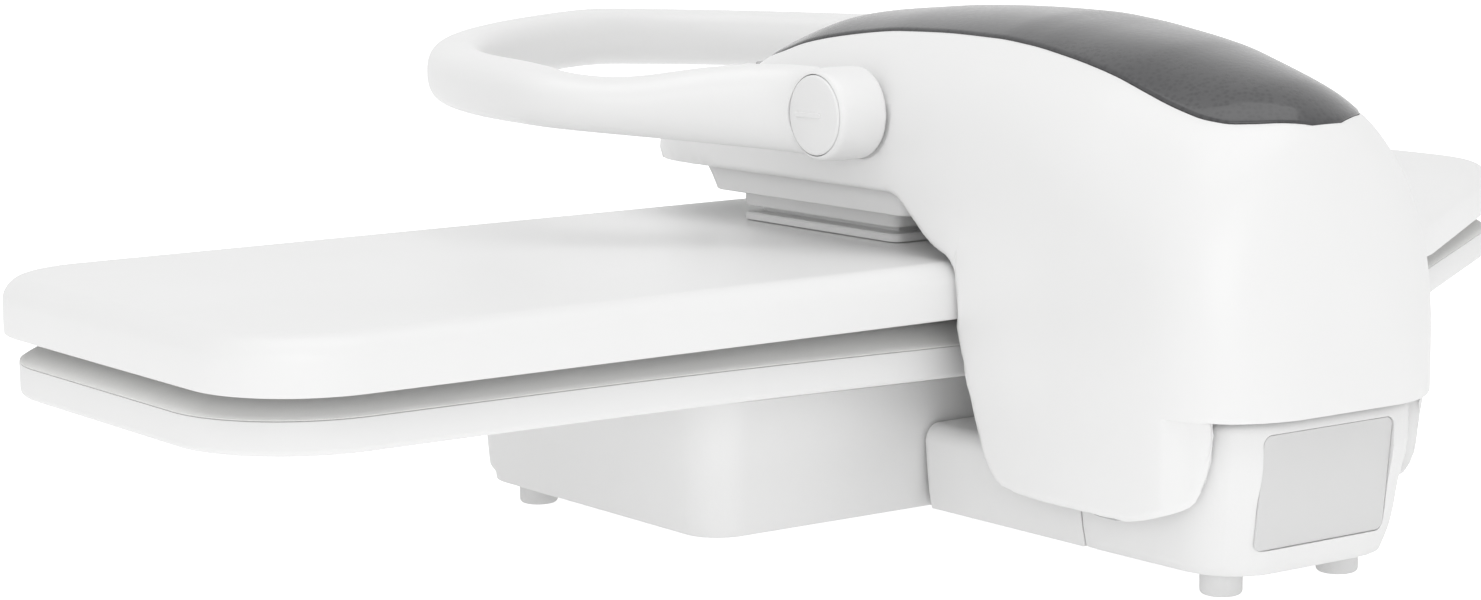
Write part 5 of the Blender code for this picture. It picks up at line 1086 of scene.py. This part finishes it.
hub = [(1e-5, 0.0)] + arc((HUB_RADIUS - HUB_EDGE, HUB_EDGE), HUB_EDGE, -math.pi / 2, 0, 5)
hub += [(HUB_RADIUS, HUB_END - HUB_START)]
hub += arc((RING_RADIUS - RING_EDGE, RING_END - HUB_START - RING_EDGE), RING_EDGE, 0, math.pi / 2, 6)
hub += [(1e-5, RING_END - HUB_START)]
for side in (1, -1):
    cut(handle, "hub", on_hub(hub, HUB_START, side), "UNION")
applied(handle, "REMESH", mode="VOXEL", voxel_size=0.0011)
applied(handle, "SMOOTH", factor=0.5, iterations=8)
for side in (1, -1):
    cut(handle, "pin_bore", on_hub([(PIN_RADIUS, -0.004), (PIN_RADIUS, 0.0112)], HUB_START, side, 40))
    cut(handle, "cap_recess", on_hub([(CAP_RADIUS + GAP, 0.0), (CAP_RADIUS + GAP, 0.012)], HUB_END, side))
handle.data.shade_smooth()
handle.data.materials.clear()
handle.data.materials.append(look_of("handle_loop"))

CAP_THICKNESS, CAP_EDGE = CAP_END - HUB_END - GAP, 0.0009
cap = [(0.0, 0.0), (CAP_RADIUS - 0.0004, 0.0), (CAP_RADIUS, 0.0004)]
cap += arc((CAP_RADIUS - CAP_EDGE, CAP_THICKNESS - 0.0014), CAP_EDGE, 0, math.pi / 2, 7)
cap += [(CAP_RADIUS * share, CAP_THICKNESS - 0.0005 * share ** 2) for share in (0.8, 0.6, 0.4, 0.2, 0.0)]
TICK_FRONT, TICK_REAR, TICK_HALF = -0.0095, 0.0045, 0.0009
tick, outwards = rounded_box((TICK_FRONT, -TICK_HALF), (TICK_REAR, TICK_HALF), 0.0008, arc=6)
for side, name in ((1, "right"), (-1, "left")):
    piece = solid("handle_end_cap_" + name, [on_hub(cap, HUB_END + GAP, side)], "handle",
                  "handle_cap_" + name, capped=False)
    rows = [np.column_stack((np.full(len(tick), side * (CAP_END + out)),
                             (PLATE_Y + HUB_REACH, HUB_Z) + tick - outwards * inset))
            for out, inset in ((-0.0020, 0.0), (0.0002, 0.0), (0.0004, 0.0002))]
    cut(piece, "tick", np.array(rows), "UNION")

# Openings in the shell: the panel's pocket, the hubs' seats and the pins' holes
PANEL_TILT = math.radians(63)
PANEL_OUT = np.array((0, -math.sin(PANEL_TILT), math.cos(PANEL_TILT)))
PANEL_UP = np.array((0, math.cos(PANEL_TILT), math.sin(PANEL_TILT)))
PANEL_MIDDLE = sum(box_of("control_panel")) / 2 + PANEL_OUT * 0.002
PANEL_WIDTH, PANEL_HEIGHT, PANEL_CORNER = 0.056, 0.023, 0.003
pocket, outwards = rounded_box((-PANEL_WIDTH / 2, -PANEL_HEIGHT / 2), (PANEL_WIDTH / 2, PANEL_HEIGHT / 2),
                               PANEL_CORNER, arc=8)
pocket = PANEL_MIDDLE + (pocket + outwards * GAP) @ np.array(((1, 0, 0), PANEL_UP))
cut(shell, "panel_pocket", np.array([pocket + out * PANEL_OUT for out in (-0.012, 0.012)]), angle=50)
for side in (1, -1):
    cut(shell, "hub_seat", on_hub([(HUB_RADIUS + GAP, -0.0007), (HUB_RADIUS + GAP, 0.004)], ARM_HALF, side,
                                  96), angle=50)
    cut(shell, "pin_hole", on_hub([(PIN_RADIUS, -0.006), (PIN_RADIUS, 0.004)], ARM_HALF, side, 40), angle=50)

# Underside of the arm and the neck on the plate
FLANGE_MIDDLE = (0.0, PLATE_Y + 0.003)
FLANGE = (0.0405, -0.042, 0.048, 0.004)
UNDER = (0.0485, -0.0555, 0.063, 0.005)
UNDER_SLANT, UNDER_TOP_Z, UNDER_Z = 0.0065, 0.1185, 0.1100


def box_rings(size, levels, slant=0.0, count=320):
    """Rounded rectangles (half width, front, rear, corner) moved in by the insets, evenly spaced."""
    half, front, rear, corner = size

    def ring(z, inset):
        low = PLATE_Y + front + inset + slant * (UNDER_TOP_Z - z) / (UNDER_TOP_Z - UNDER_Z)
        high = PLATE_Y + rear - inset
        return rounded_box((inset - half, low), (half - inset, high), max(corner - inset, 0.0006))[0]

    return ring_stack(levels, ring, np.linspace(0, 1, count, endpoint=False))


lower = np.concatenate((
    box_rings(FLANGE, [(UNDER_TOP_Z, 0.0045), (0.1042, 0.0045), (0.1042, 0.0008), (0.1044, 0.0003),
                       (0.1050, 0.0), (0.1094, 0.0), (UNDER_Z, -0.0004)]),
    box_rings(UNDER, [(UNDER_Z, 0.0008), (0.1103, 0.0002), (0.1108, 0.0), (UNDER_TOP_Z, 0.0)], UNDER_SLANT)))
solid("arm_lower_cover", [lower], "arm", "lower_cover", capped=False, cyclic=True)
NECK_Z, NECK_TOP_Z = PLATE_TOP_Z + GAP, 0.1095
neck = box_rings(FLANGE, [(NECK_Z, 0.0003), (NECK_Z + 0.0003, 0.0), (NECK_Z + 0.0022, 0.0),
                          (NECK_Z + 0.0028, 0.0006), (NECK_Z + 0.0028, 0.0051), (NECK_Z + 0.0032, 0.0057),
                          (NECK_TOP_Z - 0.0006, 0.0057), (NECK_TOP_Z, 0.0063)])
away = neck[-1, :, :2] - FLANGE_MIDDLE
away /= np.linalg.norm(away, axis=1)[:, None]
boss = [np.column_stack((FLANGE_MIDDLE + away * radius, np.full(len(away), z)))
        for radius, z in ((0.0092, NECK_TOP_Z), (0.0085, 0.1102), (0.0085, 0.1134), (0.0079, 0.1140))]
solid("press_plate_neck", [np.concatenate((neck, np.array(boss)))], "plate", "plate_neck")
